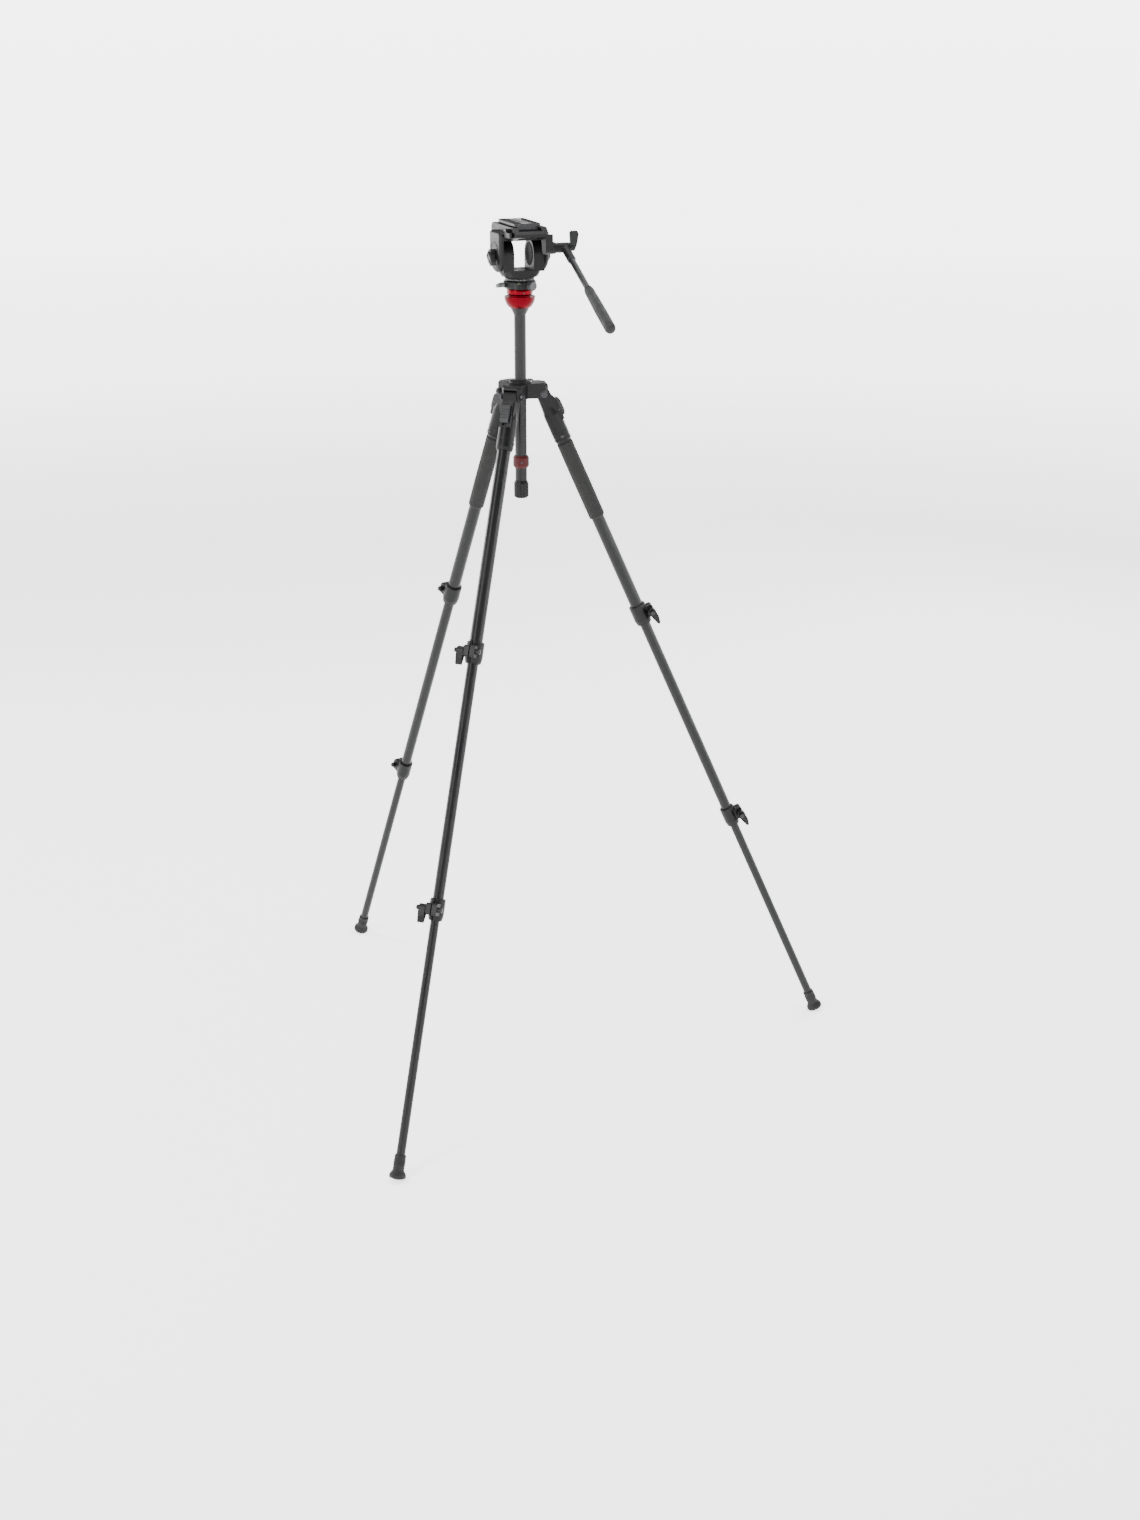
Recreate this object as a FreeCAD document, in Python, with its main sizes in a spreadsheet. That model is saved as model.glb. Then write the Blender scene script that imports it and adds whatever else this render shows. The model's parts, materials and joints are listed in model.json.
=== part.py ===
import FreeCAD, Part
import math
import os
import Sketcher

# Three-section aluminium tripod with a levelling centre column and a bridge-type fluid head.
# Millimetres and degrees. +Z is up, and the origin is on the floor under the column's axis.
# +Y is the way the lens points, -Y is the operator's side and +X is the operator's right.
# Leg pieces are drawn in a leg frame: origin at the leg's pivot, -Z down the leg, +X outward.
# Head pieces are drawn about the tilt axis, which runs along X.

SIZES = {
    # legs as they stand
    "leg_angle": 23.6,
    "first_leg_azimuth": -11.2,
    "leg_spacing": 120.0,
    "pivot_height": 1330.0,
    "pivot_offset": 41.0,
    "foot_ball_radius": 30.0,
    # leg tubes and locks
    "upper_tube_radius": 12.25,
    "middle_tube_radius": 10.2,
    "lower_tube_radius": 8.25,
    "tube_wall": 1.4,
    "upper_lock_distance": 477.0,
    "lower_lock_distance": 952.0,
    "tube_overlap": 45.0,
    "tube_start": 36.0,
    "lock_height": 40.0,
    "lock_wall": 4.2,
    "lock_slit": 2.0,
    "ear_half_width": 11.0,
    "ear_reach": 27.0,
    "lock_pin_offset": 20.5,
    "lock_pin_radius": 2.5,
    "lock_nut_radius": 5.0,
    "lock_stud_radius": 4.4,
    "lever_cam_radius": 8.0,
    "lever_reach": 27.0,
    "lever_width": 13.0,
    "grip_radius": 15.5,
    "grip_length": 160.0,
    "foot_radius": 15.5,
    "foot_height": 46.0,
    # top bracket and angle selector
    "lug_radius": 12.0,
    "lug_half_width": 12.8,
    "leg_pin_radius": 4.0,
    "socket_radius": 16.0,
    "bracket_length": 101.0,
    "rail_top": 10.0,
    "rail_bottom": 60.0,
    "selector_half_width": 8.0,
    "selector_face": 24.5,
    # spider
    "hub_radius": 21.0,
    "hub_below": 8.0,
    "hub_above": 24.0,
    "arm_reach": 50.0,
    "arm_half_width": 19.0,
    "slot_half_width": 13.0,
    "arm_top": 20.0,
    "arm_rounding": 6.0,
    "slot_roof": 13.0,
    "lock_knob_radius": 11.0,
    "lock_knob_height": 9.0,
    "lock_screw_radius": 3.0,
    # centre column
    "column_radius": 11.0,
    "column_wall": 1.6,
    "column_bottom": 1166.0,
    "ring_bottom": 1190.0,
    "ring_top": 1213.0,
    "ring_radius": 15.0,
    "knob_radius": 13.7,
    "knob_height": 33.0,
    # levelling ball
    "ball_centre": 1508.0,
    "ball_radius": 25.0,
    "liner_wall": 1.0,
    "bowl_wall": 1.9,
    "bowl_depth": 21.0,
    "seat_radius": 17.0,
    "neck_waist": 21.0,
    "neck_radius": 24.0,
    "neck_height": 14.0,
    "stem_radius": 2.0,
    "draw_rod_radius": 3.0,
    # pan base
    "pan_base_radius": 30.0,
    "pan_base_height": 14.0,
    "drag_knob_azimuth": -70.0,
    "drag_knob_radius": 8.5,
    "bubble_azimuth": -112.0,
    "bubble_reach": 31.5,
    "bubble_radius": 5.0,
    "spigot_radius": 10.0,
    "spigot_height": 11.0,
    "base_screw_radius": 3.0,
    # fluid head
    "tilt_height": 1583.0,
    "drum_radius": 26.5,
    "drum_inner": 18.5,
    "drum_outer": 39.4,
    "floor_drop": 27.0,
    "yoke_drop": 46.7,
    "yoke_base_radius": 27.0,
    "axle_radius": 6.0,
    "cartridge_radius": 19.9,
    "cartridge_length": 11.5,
    "cheek_radius": 31.5,
    "cheek_rounding": 7.6,
    "cheek_inner": 40.2,
    "cheek_outer": 48.0,
    "tilt_lock_angle": -55.0,
    "dial_radius": 15.0,
    "dial_width": 7.0,
    "deck_bottom": 27.0,
    "deck_top": 52.0,
    "deck_half_width": 32.0,
    "deck_half_length": 70.0,
    "deck_slope_length": 12.0,
    "deck_slope_drop": 11.0,
    "channel_depth": 6.0,
    "plate_half_width": 25.0,
    "plate_length": 95.0,
    "plate_height": 12.0,
    "screw_radius": 3.175,
    "screw_reach": 5.5,
    "screw_head_radius": 8.2,
    "screw_neck_radius": 2.7,
    # pan handle
    "handle_drop": 26.0,
    "handle_back": 60.0,
    "lug_boss_radius": 10.5,
    "lug_boss_width": 14.0,
    "handle_rise": 15.0,
    "handle_offset": 66.0,
    "handle_tube_radius": 5.75,
    "handle_length": 262.0,
    "handle_grip_start": 132.0,
    "handle_grip_radius": 10.0,
    "clamp_bolt_radius": 3.0,
    "clamp_holder_radius": 7.8,
    "clamp_holder_length": 40.0,
    "handle_tube_wall": 1.2,
    # play between a shaft and its hole, and the gap between faces that pass each other
    "running_play": 0.05,
    "face_gap": 0.3,
}

doc = FreeCAD.newDocument("tripod_with_fluid_head")
sheet = doc.addObject("Spreadsheet::Sheet", "Sizes")
for row, (alias, number) in enumerate(SIZES.items(), start=1):
    sheet.set(f"A{row}", alias)
    sheet.set(f"B{row}", str(number))
    sheet.setAlias(f"B{row}", alias)
doc.recompute()

Vector = FreeCAD.Vector


class Size:
    """A length or angle that knows both its value and the sheet expression behind it."""

    def __init__(self, value, text):
        self.value = float(value)
        self.text = text

    def __add__(self, other):
        other = as_size(other)
        return Size(self.value + other.value, f"({self.text} + {other.text})")

    def __sub__(self, other):
        other = as_size(other)
        return Size(self.value - other.value, f"({self.text} - {other.text})")

    def __rsub__(self, other):
        return as_size(other) - self

    def __mul__(self, other):
        other = as_size(other)
        return Size(self.value * other.value, f"({self.text} * {other.text})")

    def __truediv__(self, other):
        other = as_size(other)
        return Size(self.value / other.value, f"({self.text} / {other.text})")

    def __neg__(self):
        return Size(-self.value, f"(0 - {self.text})")

    __radd__ = __add__
    __rmul__ = __mul__


def as_size(number):
    """Plain numbers join in with sheet values."""
    if isinstance(number, Size):
        return number
    if number < 0:
        return Size(number, f"(0 - {-number})")
    return Size(number, str(number))


def size(alias):
    return Size(SIZES[alias], "Sizes." + alias)


def cosine(angle):
    return Size(math.cos(math.radians(angle.value)), f"cos({angle.text} * 1deg)")


def sine(angle):
    return Size(math.sin(math.radians(angle.value)), f"sin({angle.text} * 1deg)")


def bind(thing, prop, amount):
    """Set a property from the sheet, so that it follows the sheet afterwards."""
    thing.setExpression(prop, as_size(amount).text)


# ---------------------------------------------------------------- placements


def place_at(x, y, z, turns=()):
    """Placement expression: a shift, then turns given as (axis letter, angle)."""
    axes = {"x": "1; 0; 0", "y": "0; 1; 0", "z": "0; 0; 1"}
    x, y, z = as_size(x), as_size(y), as_size(z)
    text = f"placement(vector({x.text}; {y.text}; {z.text}); rotation(vector(0; 0; 1); 0))"
    for letter, angle in turns:
        spin = f"rotation(vector({axes[letter]}); {as_size(angle).text})"
        text += f" * placement(vector(0; 0; 0); {spin})"
    return text


def leg_azimuth(index):
    return size("first_leg_azimuth") - size("leg_spacing") * index


def leg_placement(index, along=0, outward=0, tangential=0):
    """The leg frame of one leg, moved along the leg and outward from it."""
    along, outward, tangential = as_size(along), as_size(outward), as_size(tangential)
    about_column = place_at(0, 0, size("pivot_height"), [("z", leg_azimuth(index))])
    at_pivot = place_at(size("pivot_offset"), 0, 0, [("y", -size("leg_angle"))])
    on_leg = place_at(outward, tangential, -along)
    return f"{about_column} * {at_pivot} * {on_leg}"


def at_height(z):
    return place_at(0, 0, z)


def set_placement(thing, expression):
    thing.setExpression("Placement", expression)
    return thing


# ---------------------------------------------------------------- sketches and features


def new_body(label, expression=None):
    body = doc.addObject("PartDesign::Body", label)
    body.Label = label
    if expression:
        set_placement(body, expression)
    return body


def new_sketch(body, role, offset=0):
    """An empty sketch on one of the body's own origin planes, shifted along its normal."""
    plane = [item for item in body.Origin.OriginFeatures if item.Role == role][0]
    sketch = body.newObject("Sketcher::SketchObject", body.Label + "_sketch")
    sketch.AttachmentSupport = [(plane, "")]
    sketch.MapMode = "FlatFace"
    bind(sketch, "AttachmentOffset.Base.z", offset)
    return sketch


def fix_point(sketch, edge, end, across, up):
    """Dimension one point of a sketch edge from the sketch origin."""
    for kind, amount in (("DistanceX", as_size(across)), ("DistanceY", as_size(up))):
        if abs(amount.value) < 1e-9 and amount.text == "0":
            axis = -2 if kind == "DistanceX" else -1
            sketch.addConstraint(Sketcher.Constraint("PointOnObject", edge, end, axis))
        else:
            number = sketch.addConstraint(
                Sketcher.Constraint(kind, -1, 1, edge, end, amount.value)
            )
            sketch.setExpression(f"Constraints[{number}]", amount.text)


def draw_polygon(sketch, points):
    """A closed outline of straight edges, with every corner dimensioned."""
    corners = [(as_size(across), as_size(up)) for across, up in points]
    first = sketch.GeometryCount
    count = len(corners)
    for index, (across, up) in enumerate(corners):
        far_across, far_up = corners[(index + 1) % count]
        start = Vector(across.value, up.value, 0)
        end = Vector(far_across.value, far_up.value, 0)
        sketch.addGeometry(Part.LineSegment(start, end), False)
    for index in range(count):
        following = first + (index + 1) % count
        sketch.addConstraint(Sketcher.Constraint("Coincident", first + index, 2, following, 1))
    for index, (across, up) in enumerate(points):
        fix_point(sketch, first + index, 1, across, up)


def draw_circle(sketch, radius, across=0, up=0):
    radius, across, up = as_size(radius), as_size(across), as_size(up)
    edge = sketch.GeometryCount
    centre = Vector(across.value, up.value, 0)
    sketch.addGeometry(Part.Circle(centre, Vector(0, 0, 1), radius.value), False)
    fix_point(sketch, edge, 3, across, up)
    number = sketch.addConstraint(Sketcher.Constraint("Radius", edge, radius.value))
    sketch.setExpression(f"Constraints[{number}]", radius.text)


def finish_feature(body, feature):
    body.Tip = feature
    doc.recompute()
    return feature


def extrude(body, kind, sketch, length, reverse=False, midplane=False):
    feature = body.newObject(kind, body.Label + "_feature")
    feature.Profile = sketch
    if midplane:
        feature.SideType = "Symmetric"
    feature.Reversed = reverse
    bind(feature, "Length", length)
    return finish_feature(body, feature)


def pad(body, sketch, length, **options):
    return extrude(body, "PartDesign::Pad", sketch, length, **options)


def pocket(body, sketch, length, **options):
    """Cut a pocket and make sure that it really took material away."""
    before = body.Shape.Volume
    feature = extrude(body, "PartDesign::Pocket", sketch, length, **options)
    if body.Shape.Volume > before - 1e-3:
        raise ValueError(f"a pocket in {body.Label} cuts nothing")
    return feature


def revolve(body, sketch, axis="V_Axis", kind="PartDesign::Revolution"):
    feature = body.newObject(kind, body.Label + "_feature")
    feature.Profile = sketch
    feature.ReferenceAxis = (sketch, [axis])
    feature.Angle = 360
    return finish_feature(body, feature)


def repeat_about(body, features, sketch, axis, count):
    """Polar pattern of features about one of a sketch's axes."""
    pattern = body.newObject("PartDesign::PolarPattern", body.Label + "_pattern")
    pattern.Originals = features
    pattern.Axis = (sketch, [axis])
    pattern.Angle = 360
    pattern.Occurrences = count
    return finish_feature(body, pattern)


def dress(body, kind, prop, amount, wanted):
    """Fillet or chamfer the edges of the body's tip for which wanted(edge) is true."""
    tip = body.Tip
    edges = list(enumerate(tip.Shape.Edges, start=1))
    names = [f"Edge{number}" for number, edge in edges if wanted(edge)]
    if not names:
        raise ValueError(f"no edge to dress in {body.Label}")
    feature = body.newObject(kind, body.Label + "_dressing")
    feature.Base = (tip, names)
    bind(feature, prop, amount)
    return finish_feature(body, feature)


def fillet(body, amount, wanted):
    return dress(body, "PartDesign::Fillet", "Radius", amount, wanted)


def chamfer(body, amount, wanted):
    return dress(body, "PartDesign::Chamfer", "Size", amount, wanted)


def flat_at(axis, *levels):
    """Edges that lie wholly at one of the given levels of an axis."""
    low, high = axis + "Min", axis + "Max"

    def wanted(edge):
        box = edge.BoundBox
        near = [abs(getattr(box, low) - level) < 0.02 for level in levels]
        far = [abs(getattr(box, high) - level) < 0.02 for level in levels]
        return any(one and other for one, other in zip(near, far))

    return wanted


def along(axis):
    """Straight edges that run parallel to an axis."""

    def wanted(edge):
        box = edge.BoundBox
        lengths = {"X": box.XLength, "Y": box.YLength, "Z": box.ZLength}
        straight = isinstance(edge.Curve, Part.Line)
        return straight and abs(lengths[axis] - edge.Length) < 1e-3

    return wanted


def both(first, second):
    return lambda edge: first(edge) and second(edge)


def turned(label, expression, profile, axis="V_Axis"):
    """A body turned on a lathe: a closed profile in the XZ plane spun about Z, or X."""
    body = new_body(label, expression)
    sketch = new_sketch(body, "XZ_Plane")
    draw_polygon(sketch, profile)
    revolve(body, sketch, axis)
    return body


def drill(body, role, offset, radius, depth, across=0, up=0, reverse=False, midplane=False):
    """A round hole from a plane of the body's own."""
    sketch = new_sketch(body, role, offset)
    draw_circle(sketch, radius, across, up)
    return pocket(body, sketch, depth, reverse=reverse, midplane=midplane)


def block(body, role, offset, points, length, reverse=False, midplane=False):
    """A straight-edged pad from a plane of the body's own."""
    sketch = new_sketch(body, role, offset)
    draw_polygon(sketch, points)
    return pad(body, sketch, length, reverse=reverse, midplane=midplane)


def carve(body, role, offset, points, length, reverse=False, midplane=False):
    """A straight-edged pocket from a plane of the body's own."""
    sketch = new_sketch(body, role, offset)
    draw_polygon(sketch, points)
    return pocket(body, sketch, length, reverse=reverse, midplane=midplane)


def rectangle(low_across, low_up, high_across, high_up):
    return [
        (low_across, low_up),
        (high_across, low_up),
        (high_across, high_up),
        (low_across, high_up),
    ]


def flute(body, role, offset, radius, across, up, depth, count, axis="N_Axis", reverse=False):
    """Finger grooves cut round a knob."""
    sketch = new_sketch(body, role, offset)
    draw_circle(sketch, radius, across, up)
    groove = pocket(body, sketch, depth, reverse=reverse)
    centre = new_sketch(body, role, offset)
    draw_circle(centre, radius)
    return repeat_about(body, [groove], centre, axis, count)


def gather(label, members):
    """Separate solids that share one node."""
    group = doc.addObject("Part::Compound", label)
    group.Label = label
    group.Links = members
    doc.recompute()
    return group


def primitive(kind, name, sizes, expression):
    """A Part primitive with its sizes and place bound to the sheet."""
    thing = doc.addObject(kind, name)
    for prop, amount in sizes.items():
        bind(thing, prop, amount)
    return set_placement(thing, expression)


def combine(kind, label, base, tool):
    """A boolean of two shapes."""
    result = doc.addObject(kind, label)
    result.Label = label
    result.Base = base
    result.Tool = tool
    doc.recompute()
    return result


# ---------------------------------------------------------------- shared derived sizes

play = size("running_play")
gap = size("face_gap")
wall = size("tube_wall")
upper_radius = size("upper_tube_radius")
middle_radius = size("middle_tube_radius")
lower_radius = size("lower_tube_radius")
upper_lock = size("upper_lock_distance")
lower_lock = size("lower_lock_distance")
foot_ball = (size("pivot_height") - size("foot_ball_radius")) / cosine(size("leg_angle"))
foot_top = foot_ball + size("foot_ball_radius") - size("foot_height")
foot_socket = size("foot_height") - 24
liner_inner = size("ball_radius") + gap
bowl_inner = liner_inner + size("liner_wall") + gap
column_hole = size("column_radius") - size("column_wall")


# ---------------------------------------------------------------- legs


def make_top_bracket(name, index):
    """Casting that hinges on the spider and holds the upper tube."""
    body = new_body("top_bracket_" + name, leg_placement(index))
    lug = size("lug_radius")
    socket = size("socket_radius")
    bottom = -size("bracket_length")
    width = size("lug_half_width") * 2
    hinge_eye = new_sketch(body, "XZ_Plane")
    draw_circle(hinge_eye, lug)
    pad(body, hinge_eye, width, midplane=True)
    throat = [(-lug, 0), (lug, 0), (lug + 2, -40), (-lug - 2, -40)]
    block(body, "XZ_Plane", 0, throat, width, midplane=True)
    barrel = new_sketch(body, "XZ_Plane")
    profile = [
        (0, -29),
        (13, -29),
        (socket, -44),
        (socket, bottom + 5),
        (socket - 1.5, bottom),
        (0, bottom),
    ]
    draw_polygon(barrel, profile)
    revolve(body, barrel)
    rail_top = -size("rail_top")
    rail_bottom = -size("rail_bottom")
    rail_face = lug + 6
    rail = [
        (0, rail_bottom),
        (rail_face, rail_bottom),
        (rail_face, rail_top - 10),
        (lug + 1, rail_top),
        (0, rail_top),
    ]
    block(body, "XZ_Plane", 0, rail, 22, midplane=True)
    drill(body, "XY_Plane", bottom, upper_radius, size("bracket_length") - size("tube_start"),
          reverse=True)
    drill(body, "XZ_Plane", 0, size("leg_pin_radius") + play, width + 2, midplane=True)
    groove = rectangle(13.6, rail_bottom + 2, 19, rail_top - 12)
    carve(body, "XZ_Plane", 0, groove, 8.3, midplane=True)
    return body


def make_angle_selector(name, index):
    """Sprung tab that is pulled down the leg to free it for another angle."""
    body = new_body("angle_selector_" + name, leg_placement(index))
    face = size("selector_face")
    back = size("lug_radius") + 6 + gap
    top = -size("rail_top") - 9
    bottom = -size("rail_bottom") + 7
    tab = [
        (back, top),
        (face - 2, top - 2),
        (face, top - 7),
        (face, bottom + 7),
        (face - 3, bottom),
        (back, bottom),
    ]
    block(body, "XZ_Plane", 0, tab, size("selector_half_width") * 2, midplane=True)
    key = rectangle(14, bottom + 3, 19, top - 9)
    block(body, "XZ_Plane", 0, key, 7.8, midplane=True)
    for ridge in range(4):
        level = top - 10 - 5 * ridge
        ridge_cut = [(face - 0.8, level), (face + 1, level + 1.2), (face + 1, level - 1.2)]
        carve(body, "XZ_Plane", 0, ridge_cut, 20, midplane=True)
    return body


def make_tube(label, index, radius, top, bottom):
    """A drawn aluminium leg section between two distances from the pivot."""
    body = new_body(label, leg_placement(index, along=bottom))
    ring = new_sketch(body, "XY_Plane")
    draw_circle(ring, radius)
    draw_circle(ring, radius - wall)
    pad(body, ring, bottom - top)
    return body


def make_lock_collar(label, index, distance, held, sliding):
    """Split collar: its upper half grips its own tube, its lower half the sliding one."""
    half = size("lock_height") / 2
    held_wall = held + size("lock_wall")
    slide_wall = sliding + size("lock_wall")
    body = turned(
        label + "_body",
        leg_placement(index, along=distance),
        [
            (0, half),
            (held_wall - 1.5, half),
            (held_wall, half - 1.5),
            (held_wall, -half + 9),
            (slide_wall, -half),
            (0, -half),
        ],
    )
    ear = size("ear_half_width")
    reach = size("ear_reach")
    ears = [(6, -11), (reach - 2, -11), (reach, -8), (reach, 8), (reach - 2, 11), (6, 11)]
    block(body, "XZ_Plane", 0, ears, ear * 2, midplane=True)
    drill(body, "XY_Plane", 0, held, half + 1, reverse=True)
    drill(body, "XY_Plane", 0, sliding + play, half + 1)
    slit = size("lock_slit")
    slit_outline = rectangle(0, -slit / 2, reach + 1, slit / 2)
    carve(body, "XY_Plane", 0, slit_outline, size("lock_height") + 2, midplane=True)
    pin_hole = size("lock_pin_radius") + 0.1
    drill(body, "XZ_Plane", 0, pin_hole, ear * 3, across=size("lock_pin_offset"), midplane=True)
    return body


def make_lock_pin(label, index, distance):
    """Tension pin across the collar's ears, with its nut on one side and stud on the other."""
    pin = size("lock_pin_radius")
    ear = size("ear_half_width")
    expression = leg_placement(index, along=distance, outward=size("lock_pin_offset"))
    body = new_body(label + "_pin", expression)
    nut_height = 6.2
    nut_end = ear + nut_height + 0.2
    pin_end = ear + 18
    stud_height = 5
    shank = new_sketch(body, "XZ_Plane", -nut_end - 0.6)
    draw_circle(shank, pin)
    pad(body, shank, nut_end + 0.6 + pin_end)
    nut = new_sketch(body, "XZ_Plane", -nut_end)
    draw_circle(nut, size("lock_nut_radius"))
    pad(body, nut, nut_height)
    stud = new_sketch(body, "XZ_Plane", pin_end - 4)
    draw_circle(stud, size("lock_stud_radius"))
    pad(body, stud, stud_height)
    return body


def make_flip_lever(label, index, distance):
    """Cam lever on the tension pin: it folds down along the leg to squeeze the collar."""
    body = new_body(label, leg_placement(index, along=distance))
    start = size("ear_half_width") + 0.4
    width = size("lever_width")
    offset = size("lock_pin_offset")
    reach = size("lever_reach")
    cam = new_sketch(body, "XZ_Plane", start)
    draw_circle(cam, size("lever_cam_radius"), across=offset)
    pad(body, cam, width)
    arm = [
        (offset - 7, 0),
        (offset + 7.5, 1),
        (offset + 9, -reach / 2),
        (offset + 6.5, -reach),
        (offset + 2, -reach),
        (offset - 3, -reach / 2),
    ]
    block(body, "XZ_Plane", start, arm, width)
    faces = (-start.value, -start.value - width.value)
    clear_of_cam = -SIZES["lever_cam_radius"] / 2
    fillet(body, 1.6, both(flat_at("Y", *faces), lambda edge: edge.BoundBox.ZMax < clear_of_cam))
    drill(body, "XZ_Plane", start - 1, size("lock_pin_radius") + play, width + 2, across=offset,
          reverse=True)
    return body


def make_foot(name, index):
    """Rubber foot with a domed sole that meets the floor at the leg's own slant."""
    ball = size("foot_ball_radius")
    radius = size("foot_radius")
    neck = lower_radius + 2.4
    rim_up = Size((ball.value**2 - radius.value**2) ** 0.5, f"sqrt({ball.text}^2 - {radius.text}^2)")
    top = ball - size("foot_height")
    body = turned(
        "foot_" + name,
        leg_placement(index, along=foot_ball),
        [
            (0, -top),
            (neck - 1, -top),
            (neck, -top - 2),
            (neck, -rim_up + 13),
            (radius - 1, -rim_up + 7),
            (radius, -rim_up + 5),
            (radius, -rim_up - 8),
            (0, -rim_up - 8),
        ],
    )
    drill(body, "XY_Plane", -top, lower_radius, foot_socket)
    dome = doc.addObject("Part::Sphere", "foot_dome_" + name)
    bind(dome, "Radius", ball)
    set_placement(dome, leg_placement(index, along=foot_ball))
    body.Label = "foot_blank_" + name
    foot = doc.addObject("Part::Common", "foot_shape_" + name)
    foot.Base = body
    foot.Tool = dome
    doc.recompute()
    return foot


def make_leg_grip(name, index):
    """Soft sleeve under the top bracket."""
    top = size("bracket_length") + 1
    outer = size("grip_radius")
    length = size("grip_length")
    body = turned(
        "leg_grip_" + name,
        leg_placement(index, along=top),
        [
            (upper_radius, 0),
            (outer - 1, 0),
            (outer, -2),
            (outer, -length + 14),
            (outer - 2.2, -length),
            (upper_radius, -length),
        ],
    )
    return body


def make_leg(name, index, with_grip):
    """Every piece of one leg, from the top bracket down to the foot."""
    lock_pieces = (
        ("upper", upper_lock, upper_radius, middle_radius),
        ("lower", lower_lock, middle_radius, lower_radius),
    )
    overlap = size("tube_overlap")
    pieces = [make_top_bracket(name, index), make_angle_selector(name, index)]
    start = size("tube_start")
    pieces.append(make_tube("upper_tube_" + name, index, upper_radius, start, upper_lock))
    middle_top = upper_lock - overlap
    pieces.append(make_tube("middle_tube_" + name, index, middle_radius, middle_top, lower_lock))
    lower_top = lower_lock - overlap
    lower_end = foot_top + foot_socket
    pieces.append(make_tube("lower_tube_" + name, index, lower_radius, lower_top, lower_end))
    for level, distance, held, sliding in lock_pieces:
        label = f"{level}_lock_collar_{name}"
        collar = make_lock_collar(label, index, distance, held, sliding)
        pin = make_lock_pin(label, index, distance)
        pieces.append(gather(label, [collar, pin]))
        pieces.append(make_flip_lever(f"{level}_lock_lever_{name}", index, distance))
    foot = make_foot(name, index)
    foot.Label = "foot_" + name
    pieces.append(foot)
    if with_grip:
        pieces.append(make_leg_grip(name, index))
    return pieces


# ---------------------------------------------------------------- spider


def make_spider_hub():
    """Hub casting: column sleeve in the middle, and one forked arm for each leg."""
    turn = [("z", size("first_leg_azimuth"))]
    body = new_body("spider_hub", place_at(0, 0, size("pivot_height"), turn))
    below = size("hub_below")
    hub = new_sketch(body, "XY_Plane", -below)
    draw_circle(hub, size("hub_radius"))
    pad(body, hub, below + size("hub_above"))
    half = size("arm_half_width")
    reach = size("arm_reach")
    arm_outline = [(0, -half), (reach - 6, -half), (reach, -half + 6),
                   (reach, half - 6), (reach - 6, half), (0, half)]
    arm = block(body, "XY_Plane", -below, arm_outline, below + size("arm_top"))
    slot_half = size("slot_half_width")
    slot_start = size("pivot_offset") - 17
    slot_outline = rectangle(slot_start, -slot_half, reach + 1, slot_half)
    slot = carve(body, "XY_Plane", -below, slot_outline, below + size("slot_roof"), reverse=True)
    pin_hole = drill(body, "XZ_Plane", 0, size("leg_pin_radius"), half * 2 + 2,
                     across=size("pivot_offset"), midplane=True)
    repeat_about(body, [arm, slot, pin_hole], hub, "N_Axis", 3)
    drill(body, "XY_Plane", -below - 1, size("column_radius") + play, 60, reverse=True)
    top_edge = both(flat_at("Z", SIZES["hub_above"]), lambda edge: edge.Length > 100)
    fillet(body, 3, top_edge)
    shoulder_start = SIZES["arm_reach"] - 7

    def outer_shoulder(edge):
        middle = edge.valueAt((edge.FirstParameter + edge.LastParameter) / 2)
        return math.hypot(middle.x, middle.y) > shoulder_start

    fillet(body, size("arm_rounding"), both(flat_at("Z", SIZES["arm_top"]), outer_shoulder))
    return body


def add_column_lock_boss(hub):
    """Threaded boss on the back of the hub, between two arms, for the column lock."""
    height = size("pivot_height") + size("lock_knob_height")
    turns = [("z", size("first_leg_azimuth") + size("leg_spacing") / 2), ("y", 90)]
    axis = place_at(0, 0, height, turns)
    boss = primitive("Part::Cylinder", "column_lock_boss", {"Radius": 8, "Height": 12},
                     f"{axis} * {at_height(16)}")
    thread = primitive("Part::Cylinder", "column_lock_thread",
                       {"Radius": size("lock_screw_radius"), "Height": 30},
                       f"{axis} * {at_height(5)}")
    cast = combine("Part::Fuse", "spider_cast", hub, boss)
    return combine("Part::Cut", "spider", cast, thread)


def make_pivot_pins():
    """The three leg pivots, each a shank with a head and a nut."""
    pins = []
    half = size("arm_half_width")
    for index in range(3):
        expression = leg_placement(index)
        body = new_body(f"pivot_pin_{index + 1}", expression)
        shank = new_sketch(body, "XZ_Plane")
        draw_circle(shank, size("leg_pin_radius"))
        pad(body, shank, half * 2 + 4, midplane=True)
        for side in (-1, 1):
            offset = half + 0.1 if side > 0 else -half - 2.6
            head = new_sketch(body, "XZ_Plane", offset)
            draw_circle(head, 6.5)
            pad(body, head, 2.5)
        pins.append(body)
    return gather("leg_pivot_pins", pins)


def make_column_lock_knob():
    """Fluted knob whose screw presses on the column; it points between the two rear legs."""
    azimuth = size("first_leg_azimuth") + size("leg_spacing") / 2
    height = size("pivot_height") + size("lock_knob_height")
    body = new_body("column_lock_knob", place_at(0, 0, height, [("z", azimuth)]))
    radius = size("lock_knob_radius")
    boss_end = 28
    grip_start = 32
    grip_end = 48
    screw = new_sketch(body, "YZ_Plane", size("column_radius") + gap)
    draw_circle(screw, size("lock_screw_radius") - play)
    pad(body, screw, 22)
    neck = new_sketch(body, "YZ_Plane", boss_end + 0.4)
    draw_circle(neck, 6)
    pad(body, neck, 6)
    grip = new_sketch(body, "YZ_Plane", grip_start)
    draw_circle(grip, radius)
    pad(body, grip, grip_end - grip_start)
    chamfer(body, 1.2, flat_at("X", grip_end))
    flute(body, "YZ_Plane", grip_end + 1, 2.2, radius + 0.6, 0, 20, 8)
    return body


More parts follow.
